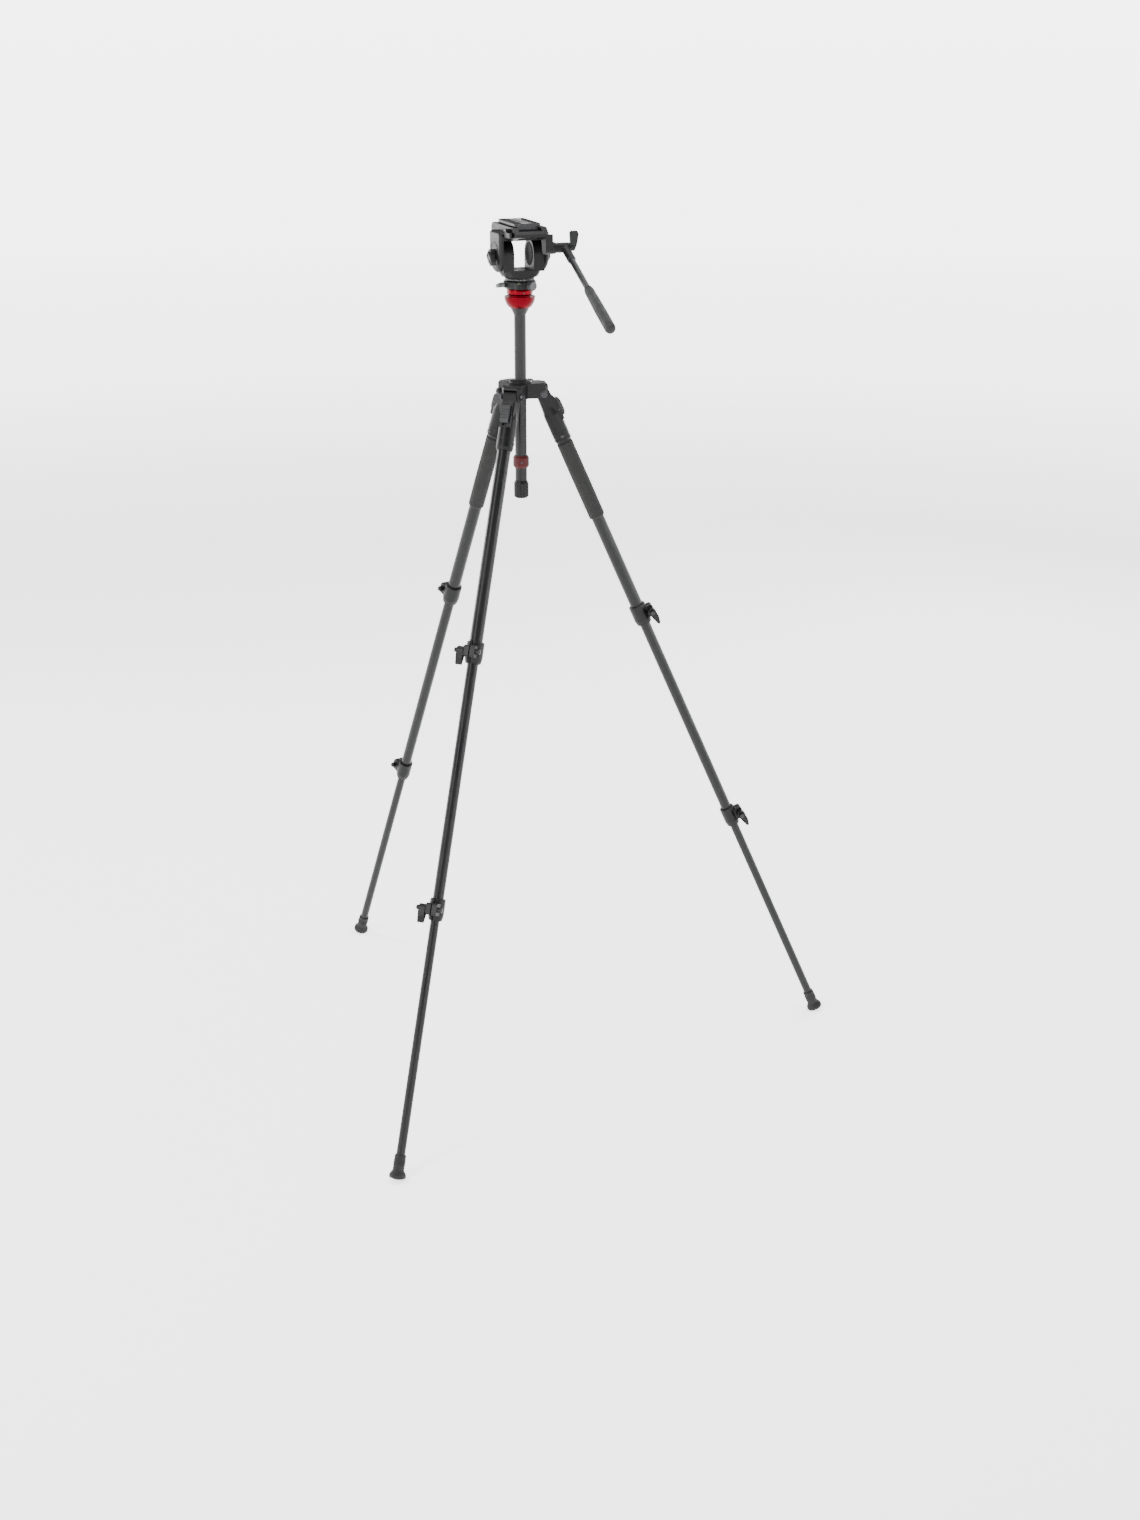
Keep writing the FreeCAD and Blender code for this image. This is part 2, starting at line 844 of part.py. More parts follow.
# ---------------------------------------------------------------- centre column and levelling


def make_column_tube():
    """Column tube with the flared head that carries the levelling bowl."""
    radius = size("column_radius")
    inner = column_hole
    bowl_foot = size("ball_centre") - size("bowl_depth") - size("column_bottom")
    seat = size("seat_radius")
    tube = turned(
        "column_tube_blank",
        at_height(size("column_bottom")),
        [
            (inner, 0),
            (radius, 0),
            (radius, bowl_foot - 13),
            (seat - 1.5, bowl_foot - 4),
            (seat, bowl_foot - 1.5),
            (seat, bowl_foot),
            (inner, bowl_foot),
        ],
    )
    hollow = primitive("Part::Sphere", "column_head_hollow", {"Radius": bowl_inner},
                       at_height(size("ball_centre")))
    return combine("Part::Cut", "column_tube", tube, hollow)


def make_safety_ring():
    """Stop ring near the column's foot, which keeps the column from leaving the spider."""
    radius = size("column_radius")
    outer = size("ring_radius")
    height = size("ring_top") - size("ring_bottom")
    return turned(
        "safety_ring",
        at_height(size("ring_bottom")),
        [
            (radius, 0),
            (outer - 2.5, 0),
            (outer, 4),
            (outer, height - 4),
            (outer - 2.5, height),
            (radius, height),
        ],
    )


def make_levelling_knob():
    """Knob under the column: it pulls the draw rod and so clamps the levelling ball."""
    radius = size("knob_radius")
    height = size("knob_height")
    inner = column_hole
    body = turned(
        "levelling_knob",
        at_height(size("column_bottom") - height - gap),
        [
            (0, 0),
            (radius - 2.5, 0),
            (radius, 2.5),
            (radius, height - 5),
            (size("column_radius"), height),
            (inner - play, height),
            (inner - play, height + 12),
            (0, height + 12),
        ],
    )
    drill(body, "XY_Plane", height + 13, size("draw_rod_radius"), 26)
    flute(body, "XY_Plane", height - 5, 1.6, radius + 0.5, 0, 25, 16)
    return body


def make_draw_rod():
    """Steel rod inside the column, from the knob up to just under the ball's stem."""
    bottom = size("column_bottom") - size("knob_height") + 20
    top = size("ball_centre") - size("ball_radius") - 14
    body = new_body("levelling_draw_rod", at_height(bottom))
    rod = new_sketch(body, "XY_Plane")
    draw_circle(rod, size("draw_rod_radius"))
    pad(body, rod, top - bottom)
    cup_height = 6
    cup = new_sketch(body, "XY_Plane", top - bottom - cup_height)
    draw_circle(cup, size("draw_rod_radius") * 2)
    pad(body, cup, cup_height)
    return body


def make_cup(label, inner, outer, low, high, hole):
    """Part of a hollow sphere between two levels, with a hole in its bottom."""
    centre = at_height(size("ball_centre"))
    shell = combine(
        "Part::Cut",
        label + "_shell",
        primitive("Part::Sphere", label + "_outside", {"Radius": outer}, centre),
        primitive("Part::Sphere", label + "_inside", {"Radius": inner}, centre),
    )
    band_sizes = {"Radius": outer + 5, "Height": high - low}
    band_place = at_height(size("ball_centre") + low)
    band = primitive("Part::Cylinder", label + "_band", band_sizes, band_place)
    opened = combine("Part::Common", label + "_zone", shell, band)
    hole_place = at_height(size("ball_centre") - outer - 1)
    hole_sizes = {"Radius": hole, "Height": outer}
    drilled = primitive("Part::Cylinder", label + "_hole", hole_sizes, hole_place)
    return combine("Part::Cut", label, opened, drilled)


def make_levelling_bowl():
    """Open cup on the column's head; the ball turns in it."""
    outer = bowl_inner + size("bowl_wall")
    low = -size("bowl_depth")
    cup = make_cup("bowl_cup", bowl_inner, outer, low, as_size(-0.5), column_hole)
    seat_height = size("bowl_depth")
    column = at_height(size("ball_centre") - size("bowl_depth"))
    foot = primitive("Part::Cylinder", "bowl_foot_disc",
                     {"Radius": size("seat_radius"), "Height": 6}, column)
    bore = primitive("Part::Cylinder", "bowl_foot_bore",
                     {"Radius": column_hole, "Height": seat_height}, column)
    ring = combine("Part::Cut", "bowl_foot_ring", foot, bore)
    hollow = primitive("Part::Sphere", "bowl_foot_hollow", {"Radius": bowl_inner},
                       at_height(size("ball_centre")))
    trimmed = combine("Part::Cut", "bowl_foot", ring, hollow)
    return combine("Part::Fuse", "levelling_bowl", cup, trimmed)


def make_levelling_liner():
    """Thin slippery cup between the ball and the bowl."""
    outer = liner_inner + size("liner_wall")
    return make_cup("levelling_liner", liner_inner, outer, -outer, as_size(-4.5), as_size(10.6))


def make_half_ball():
    """Half ball with the neck above it that the pan base is screwed to, and the stem below."""
    centre = at_height(size("ball_centre"))
    ball_radius = size("ball_radius")
    ball = primitive("Part::Sphere", "ball_whole", {"Radius": ball_radius}, centre)
    lower_place = at_height(size("ball_centre") - ball_radius)
    lower_sizes = {"Radius": ball_radius + 1, "Height": ball_radius - 1}
    lower = primitive("Part::Cylinder", "ball_lower", lower_sizes, lower_place)
    half = combine("Part::Common", "ball_half", ball, lower)
    waist = size("neck_waist")
    flange = size("neck_radius")
    top = size("neck_height")
    neck = turned(
        "ball_neck",
        centre,
        [
            (0, -2),
            (waist, -2),
            (waist, 1.5),
            (flange, 4.5),
            (flange, top - 3.5),
            (flange - 1, top),
            (0, top),
        ],
    )
    upper = combine("Part::Fuse", "ball_with_neck", half, neck)
    stem_place = at_height(size("ball_centre") - ball_radius - 9)
    stem_sizes = {"Radius": size("stem_radius"), "Height": 12}
    stem = primitive("Part::Cylinder", "ball_stem", stem_sizes, stem_place)
    return combine("Part::Fuse", "half_ball", upper, stem)


# ---------------------------------------------------------------- pan base

base_bottom = size("ball_centre") + size("neck_height")
lever_level = as_size(7)
drag_azimuth = size("drag_knob_azimuth")


def bubble_centre():
    """Where the level stands, from the pan axis."""
    azimuth = size("bubble_azimuth")
    return size("bubble_reach") * cosine(azimuth), size("bubble_reach") * sine(azimuth)


def make_pan_base():
    """Fixed lower housing: pan spigot on top, bosses for the lock, drag knob and level."""
    radius = size("pan_base_radius")
    height = size("pan_base_height")
    body = turned(
        "pan_base",
        at_height(base_bottom),
        [
            (0, 0),
            (radius - 3, 0),
            (radius, 3),
            (radius, height - 1.5),
            (radius - 1.5, height),
            (size("spigot_radius"), height),
            (size("spigot_radius"), height + size("spigot_height")),
            (0, height + size("spigot_height")),
        ],
    )
    ledge = new_sketch(body, "XY_Plane", 2)
    across, up = bubble_centre()
    draw_circle(ledge, size("bubble_radius") + 2.5, across=across, up=up)
    pad(body, ledge, 9)
    drill(body, "XY_Plane", height + 1, size("bubble_radius"), height - 6, across=across, up=up)
    hole = size("base_screw_radius") + play
    drill(body, "YZ_Plane", -radius - 1, hole, 12, up=lever_level, reverse=True)
    return body


def make_drag_socket(base):
    """Cut the pan base's radial hole for the drag knob's screw."""
    hole = primitive(
        "Part::Cylinder",
        "drag_screw_hole",
        {"Radius": size("base_screw_radius") + play, "Height": 20},
        place_at(0, 0, base_bottom + lever_level, [("z", drag_azimuth), ("y", 90)])
        + " * " + at_height(size("pan_base_radius") - 13),
    )
    base.Label = "pan_base_blank"
    return combine("Part::Cut", "pan_base", base, hole)


def make_bubble_level():
    """Round spirit level in the pan base's ledge."""
    across, up = bubble_centre()
    body = new_body("bubble_level", place_at(across, up, base_bottom + 7))
    vial = new_sketch(body, "XY_Plane")
    draw_circle(vial, size("bubble_radius"))
    pad(body, vial, 5)
    fillet(body, 1, flat_at("Z", 5))
    return body


def make_pan_lock_lever():
    """Short lever on the left of the pan base; a part turn locks the pan."""
    body = new_body("pan_lock_lever", at_height(base_bottom + lever_level))
    radius = size("pan_base_radius")
    screw = new_sketch(body, "YZ_Plane", -radius + 10)
    draw_circle(screw, size("base_screw_radius"))
    pad(body, screw, 12, reverse=True)
    hub = new_sketch(body, "YZ_Plane", -radius - 0.4)
    draw_circle(hub, 4.6)
    pad(body, hub, 7, reverse=True)
    arm = [
        (-radius - 2, -3.5),
        (-radius - 2, 3.5),
        (-radius - 9, 4),
        (-radius - 18, -7),
        (-radius - 16, -11),
        (-radius - 12, -10),
        (-radius - 6, -3.5),
    ]
    block(body, "XY_Plane", 0, arm, 7, midplane=True)
    hub_end = -SIZES["pan_base_radius"] - 7.6
    fillet(body, 1.2, both(flat_at("Z", 3.5, -3.5), lambda edge: edge.BoundBox.XMax < hub_end))
    return body


def make_pan_drag_knob():
    """Fluted knob that sets the pan drag."""
    place = place_at(0, 0, base_bottom + lever_level, [("z", drag_azimuth)])
    body = new_body("pan_drag_knob", place)
    radius = size("pan_base_radius")
    face = radius + 0.5
    knob_length = 10
    knob_radius = size("drag_knob_radius")
    screw = new_sketch(body, "YZ_Plane", radius - 12)
    draw_circle(screw, size("base_screw_radius"))
    pad(body, screw, 14)
    knob = new_sketch(body, "YZ_Plane", face)
    draw_circle(knob, knob_radius)
    pad(body, knob, knob_length)
    chamfer(body, 1, flat_at("X", face.value + knob_length))
    flute(body, "YZ_Plane", face + knob_length + 0.5, 1.5, knob_radius + 0.5, 0, 9, 10)
    return body


# ---------------------------------------------------------------- fluid head

tilt = size("tilt_height")
drum_outer = size("drum_outer")
drum_inner = size("drum_inner")
cheek_inner = size("cheek_inner")
cheek_outer = size("cheek_outer")
deck_bottom = size("deck_bottom")
deck_top = size("deck_top")
deck_half = size("deck_half_width")
deck_end = size("deck_half_length")
axle = size("axle_radius")
plate_lock_side = -deck_half - 4.7
plate_lock_back = as_size(-40)


def make_head_yoke():
    """Panning body: round floor with a drum standing on each side of an open window."""
    body = new_body("head_yoke", at_height(tilt))
    drop = size("yoke_drop")
    floor = size("floor_drop")
    base = size("yoke_base_radius")
    dish = new_sketch(body, "XZ_Plane")
    profile = [
        (0, -drop),
        (base - 1, -drop),
        (base, -drop + 1),
        (base, -drop + 5),
        (base + 6.5, -drop + 8),
        (base + 9.5, -drop + 13),
        (drum_outer - 1, -floor),
        (0, -floor),
    ]
    draw_polygon(dish, profile)
    revolve(body, dish)
    flat = size("drum_radius")
    beyond = 60
    for low, high in ((flat, beyond), (-beyond, -flat)):
        carve(body, "XY_Plane", 0, rectangle(-beyond, low, beyond, high), drop + 1)
    stand = rectangle(-flat + 0.1, -floor - 2, flat - 0.1, 0)
    width = drum_outer - drum_inner
    for side in (1, -1):
        left = side < 0
        block(body, "YZ_Plane", drum_inner * side, stand, width, reverse=left)
        drum = new_sketch(body, "YZ_Plane", drum_inner * side)
        draw_circle(drum, size("drum_radius"))
        pad(body, drum, width, reverse=left)
        can_space = size("cartridge_length") + 0.5
        can_hole = size("cartridge_radius") + 0.1
        drill(body, "YZ_Plane", drum_outer * side, can_hole, can_space, reverse=left)
        drill(body, "YZ_Plane", drum_outer * side, axle, width - 3, reverse=left)
    spigot_space = size("spigot_height") + 2.2
    drill(body, "XY_Plane", -drop - 1, size("spigot_radius") + play, spigot_space, reverse=True)
    return body


def make_tilt_axles():
    """Stub axle on each side; the middle is left open by the window."""
    solids = []
    for side, name in ((1, "right"), (-1, "left")):
        body = new_body("tilt_axle_" + name, at_height(tilt))
        inner_end = drum_inner + 3 + play
        outer_end = cheek_outer + 5 + play
        shaft = new_sketch(body, "YZ_Plane", inner_end * side)
        draw_circle(shaft, axle)
        pad(body, shaft, outer_end - inner_end, reverse=side < 0)
        solids.append(body)
    return gather("tilt_axles", solids)


def make_fluid_cartridges():
    """Sealed damping cartridges inside the drums."""
    solids = []
    for side, name in ((1, "right"), (-1, "left")):
        body = new_body("tilt_cartridge_" + name, at_height(tilt))
        length = size("cartridge_length")
        ring = new_sketch(body, "YZ_Plane", (drum_outer - length - 0.4) * side)
        draw_circle(ring, size("cartridge_radius"))
        draw_circle(ring, axle + 0.1)
        pad(body, ring, length, reverse=side < 0)
        solids.append(body)
    return gather("tilt_fluid_cartridges", solids)


def make_tilt_platform():
    """Bridge that tilts: two cheeks outside the drums, the deck above, the handle lug."""
    body = new_body("tilt_platform", at_height(tilt))
    slope_length = size("deck_slope_length")
    slope_drop = size("deck_slope_drop")
    side_view = [
        (-deck_end, deck_bottom + 9),
        (-38, deck_bottom),
        (38, deck_bottom),
        (deck_end, deck_bottom + 9),
        (deck_end, deck_top - slope_drop),
        (deck_end - slope_length, deck_top),
        (-deck_end + slope_length, deck_top),
        (-deck_end, deck_top - slope_drop),
    ]
    block(body, "YZ_Plane", 0, side_view, deck_half * 2, midplane=True)
    end = SIZES["deck_half_length"]
    fillet(body, 6, both(along("Z"), lambda edge: abs(abs(edge.BoundBox.YMin) - end) < 0.02))
    cheek = size("cheek_radius")
    shoulder = deck_bottom + 15
    bridge = rectangle(-cheek, deck_bottom, cheek, shoulder)
    block(body, "YZ_Plane", 0, bridge, cheek_outer * 2, midplane=True)
    fillet(body, 5, both(along("Y"), lambda edge: edge.BoundBox.ZMin > SIZES["deck_bottom"] + 14
                         and abs(edge.BoundBox.XMin) > SIZES["deck_half_width"] + 2))
    strap = rectangle(-cheek, 0, cheek, deck_bottom + 5)
    for side in (1, -1):
        left = side < 0
        thickness = cheek_outer - cheek_inner
        block(body, "YZ_Plane", cheek_inner * side, strap, thickness, reverse=left)
        disc = new_sketch(body, "YZ_Plane", cheek_inner * side)
        draw_circle(disc, cheek)
        pad(body, disc, thickness, reverse=left)
    outer = SIZES["cheek_outer"]

    def low_rim(edge):
        return flat_at("X", outer, -outer)(edge) and edge.BoundBox.ZMin < SIZES["deck_bottom"] - 1

    fillet(body, size("cheek_rounding"), low_rim)
    back = size("handle_back")
    rise = size("handle_rise")
    boss = size("lug_boss_radius")
    boss_width = size("lug_boss_width")
    lug_start = deck_half - 6
    lug = new_sketch(body, "YZ_Plane", lug_start)
    draw_circle(lug, boss, across=-back, up=rise)
    pad(body, lug, boss_width)
    web = [(-back - boss, rise), (-back + boss, rise), (-back + 16, rise + 23),
           (-back - 10, rise + 25)]
    block(body, "YZ_Plane", lug_start, web, boss_width)
    bolt = size("clamp_bolt_radius") + play
    drill(body, "YZ_Plane", deck_half + 9, bolt, 13, across=-back, up=rise)
    drill(body, "YZ_Plane", 0, axle + play, cheek_outer * 3, midplane=True)
    ceiling = deck_top - size("channel_depth") - 3
    for low, high in ((-62, -42), (-22, 22), (42, 62)):
        hollow = rectangle(-21, low, 21, high)
        carve(body, "XY_Plane", deck_bottom - 1, hollow, ceiling - deck_bottom + 1, reverse=True)
    channel = [(-22, deck_top - size("channel_depth")), (22, deck_top - size("channel_depth")),
               (19.8, deck_top + 0.6), (-19.8, deck_top + 0.6)]
    carve(body, "XZ_Plane", 0, channel, deck_end * 3, midplane=True)
    drill(body, "YZ_Plane", deck_half + 1, 4 + play, 10, across=50, up=deck_top - 12)
    ear = rectangle(-deck_half - 9, plate_lock_back - 6, -deck_half + 4, plate_lock_back + 6)
    block(body, "XY_Plane", deck_top - 7, ear, 4)
    post = new_sketch(body, "XY_Plane", deck_top - 19)
    draw_circle(post, 2.5, across=plate_lock_side, up=plate_lock_back)
    pad(body, post, 13)
    return body


def make_plate_lock_lever():
    """Lever under the ear on the left of the deck; it swings out to free the plate."""
    place = place_at(plate_lock_side, plate_lock_back, tilt + deck_top - 17.5)
    body = new_body("plate_lock_lever", place)
    hub = new_sketch(body, "XY_Plane")
    draw_circle(hub, 4.3)
    pad(body, hub, 10)
    arm = [(-3.6, 0), (3.6, 0), (2.8, -20), (0.5, -24), (-3.5, -24), (-5, -18)]
    block(body, "XY_Plane", 0.5, arm, 9)
    drill(body, "XY_Plane", 11, 2.5 + play, 12)
    return body


def make_release_button():
    """Sprung button on the right of the deck that lets the plate slide right out."""
    body = new_body("plate_release_button", place_at(deck_half, 50, tilt + deck_top - 12))
    stem = new_sketch(body, "YZ_Plane", -4.5)
    draw_circle(stem, 4)
    pad(body, stem, 8.5)
    fillet(body, 1, flat_at("X", 4))
    return body


def make_tilt_lock_lever():
    """Lever on the left end of the axle; it presses the cheek against the drum."""
    body = new_body("tilt_lock_lever", place_at(0, 0, tilt, [("x", size("tilt_lock_angle"))]))
    face = cheek_outer + gap
    hub = new_sketch(body, "YZ_Plane", -face)
    draw_circle(hub, 10.5)
    pad(body, hub, 9, reverse=True)
    arm = [(-6, 3), (-7, -12), (-5, -24), (0, -27), (5, -24), (7, -12), (6, 3)]
    block(body, "YZ_Plane", -face - 3, arm, 10, reverse=True)
    drill(body, "YZ_Plane", -face + 1, axle + play, 6)
    return body


def make_tilt_drag_dial():
    """Drag dial on the right end of the axle."""
    body = new_body("tilt_drag_dial", at_height(tilt))
    face = cheek_outer + gap
    dial = new_sketch(body, "YZ_Plane", face)
    draw_circle(dial, size("dial_radius"))
    pad(body, dial, size("dial_width"))
    chamfer(body, 1.2, flat_at("X", face.value + SIZES["dial_width"]))
    drill(body, "YZ_Plane", face - 1, axle + play, 6, reverse=True)
    groove_start = face + size("dial_width") + 1
    flute(body, "YZ_Plane", groove_start, 1.6, size("dial_radius") + 0.6, 0, 10, 18)
    return body


plate_level = tilt + deck_top - size("channel_depth") + gap


def make_camera_plate():
    """Sliding quick-release plate with dovetail sides."""
    body = new_body("camera_plate", at_height(plate_level))
    half = size("plate_half_width")
    top = size("plate_height")
    foot = size("channel_depth")
    outline = [
        (-21.6, 0),
        (21.6, 0),
        (19.4, foot),
        (half - 0.8, foot),
        (half, foot + 1),
        (half, top - 1),
        (half - 1, top),
        (-half + 1, top),
        (-half, top - 1),
        (-half, foot + 1),
        (-half + 0.8, foot),
        (-19.4, foot),
    ]
    block(body, "XZ_Plane", 0, outline, size("plate_length"), midplane=True)
    end = SIZES["plate_length"] / 2
    corner = both(along("Z"), lambda edge: abs(abs(edge.BoundBox.YMin) - end) < 0.02
                  and abs(edge.BoundBox.XMin) > 24.9)
    fillet(body, 4, corner)
    drill(body, "XY_Plane", -1, size("screw_head_radius") + 0.4, 5, reverse=True)
    drill(body, "XY_Plane", top + 1, size("screw_neck_radius") + 0.1, top + 2)
    return body


def make_camera_screw():
    """Captive quarter-inch camera screw with a slotted head in the plate's pocket."""
    body = new_body("camera_screw", at_height(plate_level))
    head = new_sketch(body, "XY_Plane", 0.4)
    draw_circle(head, size("screw_head_radius"))
    pad(body, head, 3)
    neck = new_sketch(body, "XY_Plane", 3)
    draw_circle(neck, size("screw_neck_radius"))
    pad(body, neck, size("plate_height") - 2)
    thread = new_sketch(body, "XY_Plane", size("plate_height") + 0.1)
    draw_circle(thread, size("screw_radius"))
    pad(body, thread, size("screw_reach"))
    carve(body, "XZ_Plane", 0, rectangle(-9, 0, 9, 1.6), 1.4, midplane=True)
    return body


# ---------------------------------------------------------------- pan handle


tube_back = as_size(11.2)
tube_in_grip = as_size(71.2)


def handle_place(back=0):
    """Frame of the handle: origin on the clamp's bolt, with -Y running down the handle."""
    drop = [("x", size("handle_drop"))]
    pivot = place_at(0, -size("handle_back"), tilt + size("handle_rise"), drop)
    return f"{pivot} * {place_at(0, -as_size(back), 0)}"


def make_handle_clamp():
    """Casting that swivels on the lug's bolt and holds the handle tube."""
    body = new_body("handle_clamp", handle_place())
    lug_face = deck_half - 6 + size("lug_boss_width") + gap
    offset = size("handle_offset")
    washer = new_sketch(body, "YZ_Plane", lug_face)
    draw_circle(washer, size("lug_boss_radius"))
    pad(body, washer, 6)
    holder_radius = size("clamp_holder_radius")
    barrel = new_sketch(body, "YZ_Plane", lug_face + 5)
    draw_circle(barrel, 9)
    pad(body, barrel, offset + holder_radius - lug_face - 5)
    holder = new_sketch(body, "XZ_Plane")
    draw_circle(holder, holder_radius, across=offset)
    pad(body, holder, size("clamp_holder_length"))
    chamfer(body, 1.5, flat_at("Y", -SIZES["clamp_holder_length"]))
    drill(body, "YZ_Plane", 0, size("clamp_bolt_radius") + play, offset * 3, midplane=True)
    holder_end = size("clamp_holder_length") + 1
    drill(body, "XZ_Plane", holder_end, size("handle_tube_radius"), 30, across=offset)
    return body


def make_handle_clamp_knob():
    """Wing knob with the bolt that clamps the handle's rosette."""
    place = place_at(0, -size("handle_back"), tilt + size("handle_rise"))
    body = new_body("handle_clamp_knob", place)
    face = size("handle_offset") + size("clamp_holder_radius") + 0.4
    bolt = new_sketch(body, "YZ_Plane", deck_half - 2)
    draw_circle(bolt, size("clamp_bolt_radius"))
    pad(body, bolt, face - deck_half + 4)
    hub = new_sketch(body, "YZ_Plane", face)
    draw_circle(hub, 6.5)
    pad(body, hub, 8)
    wing = [(face + 1.5, -4), (face + 9, -6), (face + 14, 6), (face + 17, 25), (face + 14, 29),
            (face + 4, 29), (face + 1, 26), (face + 2, 8)]
    block(body, "XZ_Plane", 0, wing, 9, midplane=True)
    fillet(body, 1.5, both(flat_at("Y", 4.5, -4.5), lambda edge: edge.BoundBox.ZMin > 7))
    return body


def make_handle_tube():
    """Thin aluminium pan bar."""
    offset = size("handle_offset")
    body = new_body("handle_tube", handle_place(tube_back))
    ring = new_sketch(body, "XZ_Plane")
    draw_circle(ring, size("handle_tube_radius"), across=offset)
    draw_circle(ring, size("handle_tube_radius") - size("handle_tube_wall"), across=offset)
    pad(body, ring, size("handle_grip_start") - tube_back + tube_in_grip)
    return body


def make_handle_grip():
    """Rubber grip with a collar at its upper end and a rounded tip."""
    offset = size("handle_offset")
    length = size("handle_length") - size("handle_grip_start")
    radius = size("handle_grip_radius")
    turn = f" * {place_at(offset, 0, 0, [('x', 90)])}"
    body = turned(
        "handle_grip",
        handle_place(size("handle_grip_start")) + turn,
        [
            (0, 0),
            (radius - 3.4, 0),
            (radius - 2.2, 1.2),
            (radius - 2.2, 5),
            (radius - 1.2, 9),
            (radius, length / 2),
            (radius, length - 12),
            (radius - 1.6, length - 5),
            (radius - 5.5, length - 1),
            (0, length),
        ],
    )
    drill(body, "XY_Plane", 0, size("handle_tube_radius"), tube_in_grip + 0.1, reverse=True)
    return body


# ---------------------------------------------------------------- assembly

nodes = []
for index, (leg_name, with_grip) in enumerate((("right", True), ("front", False), ("left", True))):
    nodes += make_leg(leg_name, index, with_grip)

nodes += [
    add_column_lock_boss(make_spider_hub()),
    make_pivot_pins(),
    make_column_lock_knob(),
    make_column_tube(),
    make_safety_ring(),
    make_levelling_knob(),
    make_draw_rod(),
    make_levelling_bowl(),
    make_levelling_liner(),
    make_half_ball(),
    make_drag_socket(make_pan_base()),
    make_bubble_level(),
    make_pan_lock_lever(),
    make_pan_drag_knob(),
    make_head_yoke(),
    make_tilt_axles(),
    make_fluid_cartridges(),
    make_tilt_platform(),
    make_plate_lock_lever(),
    make_release_button(),
    make_tilt_lock_lever(),
    make_tilt_drag_dial(),
    make_camera_plate(),
    make_camera_screw(),
    make_handle_clamp(),
    make_handle_clamp_knob(),
    make_handle_tube(),
    make_handle_grip(),
]
doc.recompute()

broken = [item.Label for item in doc.Objects if "Invalid" in item.State or "Error" in item.State]
if broken:
    raise ValueError(f"objects that did not compute: {broken}")
for node in nodes:
    if node.Shape.isNull() or not node.Shape.isValid():
        raise ValueError(f"{node.Label} has no valid shape")
if len({node.Label for node in nodes}) != len(nodes):
    raise ValueError("two nodes share a name")

os.makedirs("parts", exist_ok=True)
for node in nodes:
    node.Shape.exportStep(f"parts/{node.Label}.step")
print(len(nodes), "nodes written")
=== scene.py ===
# Looks of the camera tripod with fluid head: finishes, fine parts, light and camera.
import json
import math

import bmesh
import bpy
from mathutils import Euler, Matrix, Vector, noise


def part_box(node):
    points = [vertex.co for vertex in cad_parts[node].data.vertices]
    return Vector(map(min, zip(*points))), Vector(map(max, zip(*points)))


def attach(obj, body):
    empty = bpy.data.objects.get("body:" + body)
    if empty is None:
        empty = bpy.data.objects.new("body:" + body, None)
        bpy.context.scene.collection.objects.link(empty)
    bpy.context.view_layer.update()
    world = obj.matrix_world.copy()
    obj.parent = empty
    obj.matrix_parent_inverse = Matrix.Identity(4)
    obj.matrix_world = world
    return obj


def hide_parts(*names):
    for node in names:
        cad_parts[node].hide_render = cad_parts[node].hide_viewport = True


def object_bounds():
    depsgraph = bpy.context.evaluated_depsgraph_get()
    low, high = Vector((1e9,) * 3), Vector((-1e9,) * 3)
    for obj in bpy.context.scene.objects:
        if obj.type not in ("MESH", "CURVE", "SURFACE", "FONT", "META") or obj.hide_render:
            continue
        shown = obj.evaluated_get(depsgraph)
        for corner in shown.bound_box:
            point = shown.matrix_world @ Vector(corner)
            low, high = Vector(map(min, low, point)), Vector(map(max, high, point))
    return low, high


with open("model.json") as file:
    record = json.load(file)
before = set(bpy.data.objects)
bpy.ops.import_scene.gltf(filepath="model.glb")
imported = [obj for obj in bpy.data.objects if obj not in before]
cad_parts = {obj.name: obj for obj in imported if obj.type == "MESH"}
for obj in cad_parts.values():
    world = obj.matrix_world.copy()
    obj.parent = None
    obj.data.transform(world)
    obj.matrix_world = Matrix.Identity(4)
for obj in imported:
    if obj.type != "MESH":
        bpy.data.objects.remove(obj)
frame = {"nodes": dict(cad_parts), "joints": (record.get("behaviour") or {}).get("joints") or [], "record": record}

cad_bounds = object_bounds()
MM = 0.001
LEGS = ("right", "front", "left")
GRIPPED_LEGS = ("right", "left")
X, Y, Z = Vector((1, 0, 0)), Vector((0, 1, 0)), Vector((0, 0, 1))

# ---------------------------------------------------------------- places read from the frame

joints = {joint["name"]: joint for joint in frame["joints"]}


def pivot(name):
    return Vector(joints[name]["pos_m"])


def joint_axis(name):
    return Vector(joints[name]["axis"]).normalized()


def space(origin, x, y, z):
    """Matrix of a local frame with those axes at that origin."""
    return Matrix.Translation(origin) @ Matrix((x, y, z)).transposed().to_4x4()


def leg_space(leg):
    """Leg frame: origin on the leg's pivot, Z up the leg, X away from the column."""
    y = -joint_axis("leg_swing_" + leg)
    z = -joint_axis("middle_slide_" + leg)
    return space(pivot("leg_swing_" + leg), y.cross(z), y, z)


def handle_space():
    """Pan handle's frame: origin on the tube's axis beside the clamp bolt, -Y down the tube."""
    low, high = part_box("handle_tube")
    origin = pivot("handle_swivel")
    y = (origin - (low + high) / 2).normalized()
    return space(origin, X, y, X.cross(y))


def mm(x, y, z):
    return Vector((x, y, z)) * MM


def aimed(point, direction):
    """Matrix at a point given in millimetres, with its Z along a direction."""
    turn = Z.rotation_difference(Vector(direction)).to_matrix().to_4x4()
    return Matrix.Translation(Vector(point) * MM) @ turn


leg_frames = {leg: leg_space(leg) for leg in LEGS}
head_frame = Matrix.Translation(pivot("head_tilt"))
ball_frame = Matrix.Translation(pivot("levelling_roll"))
handle_frame = handle_space()

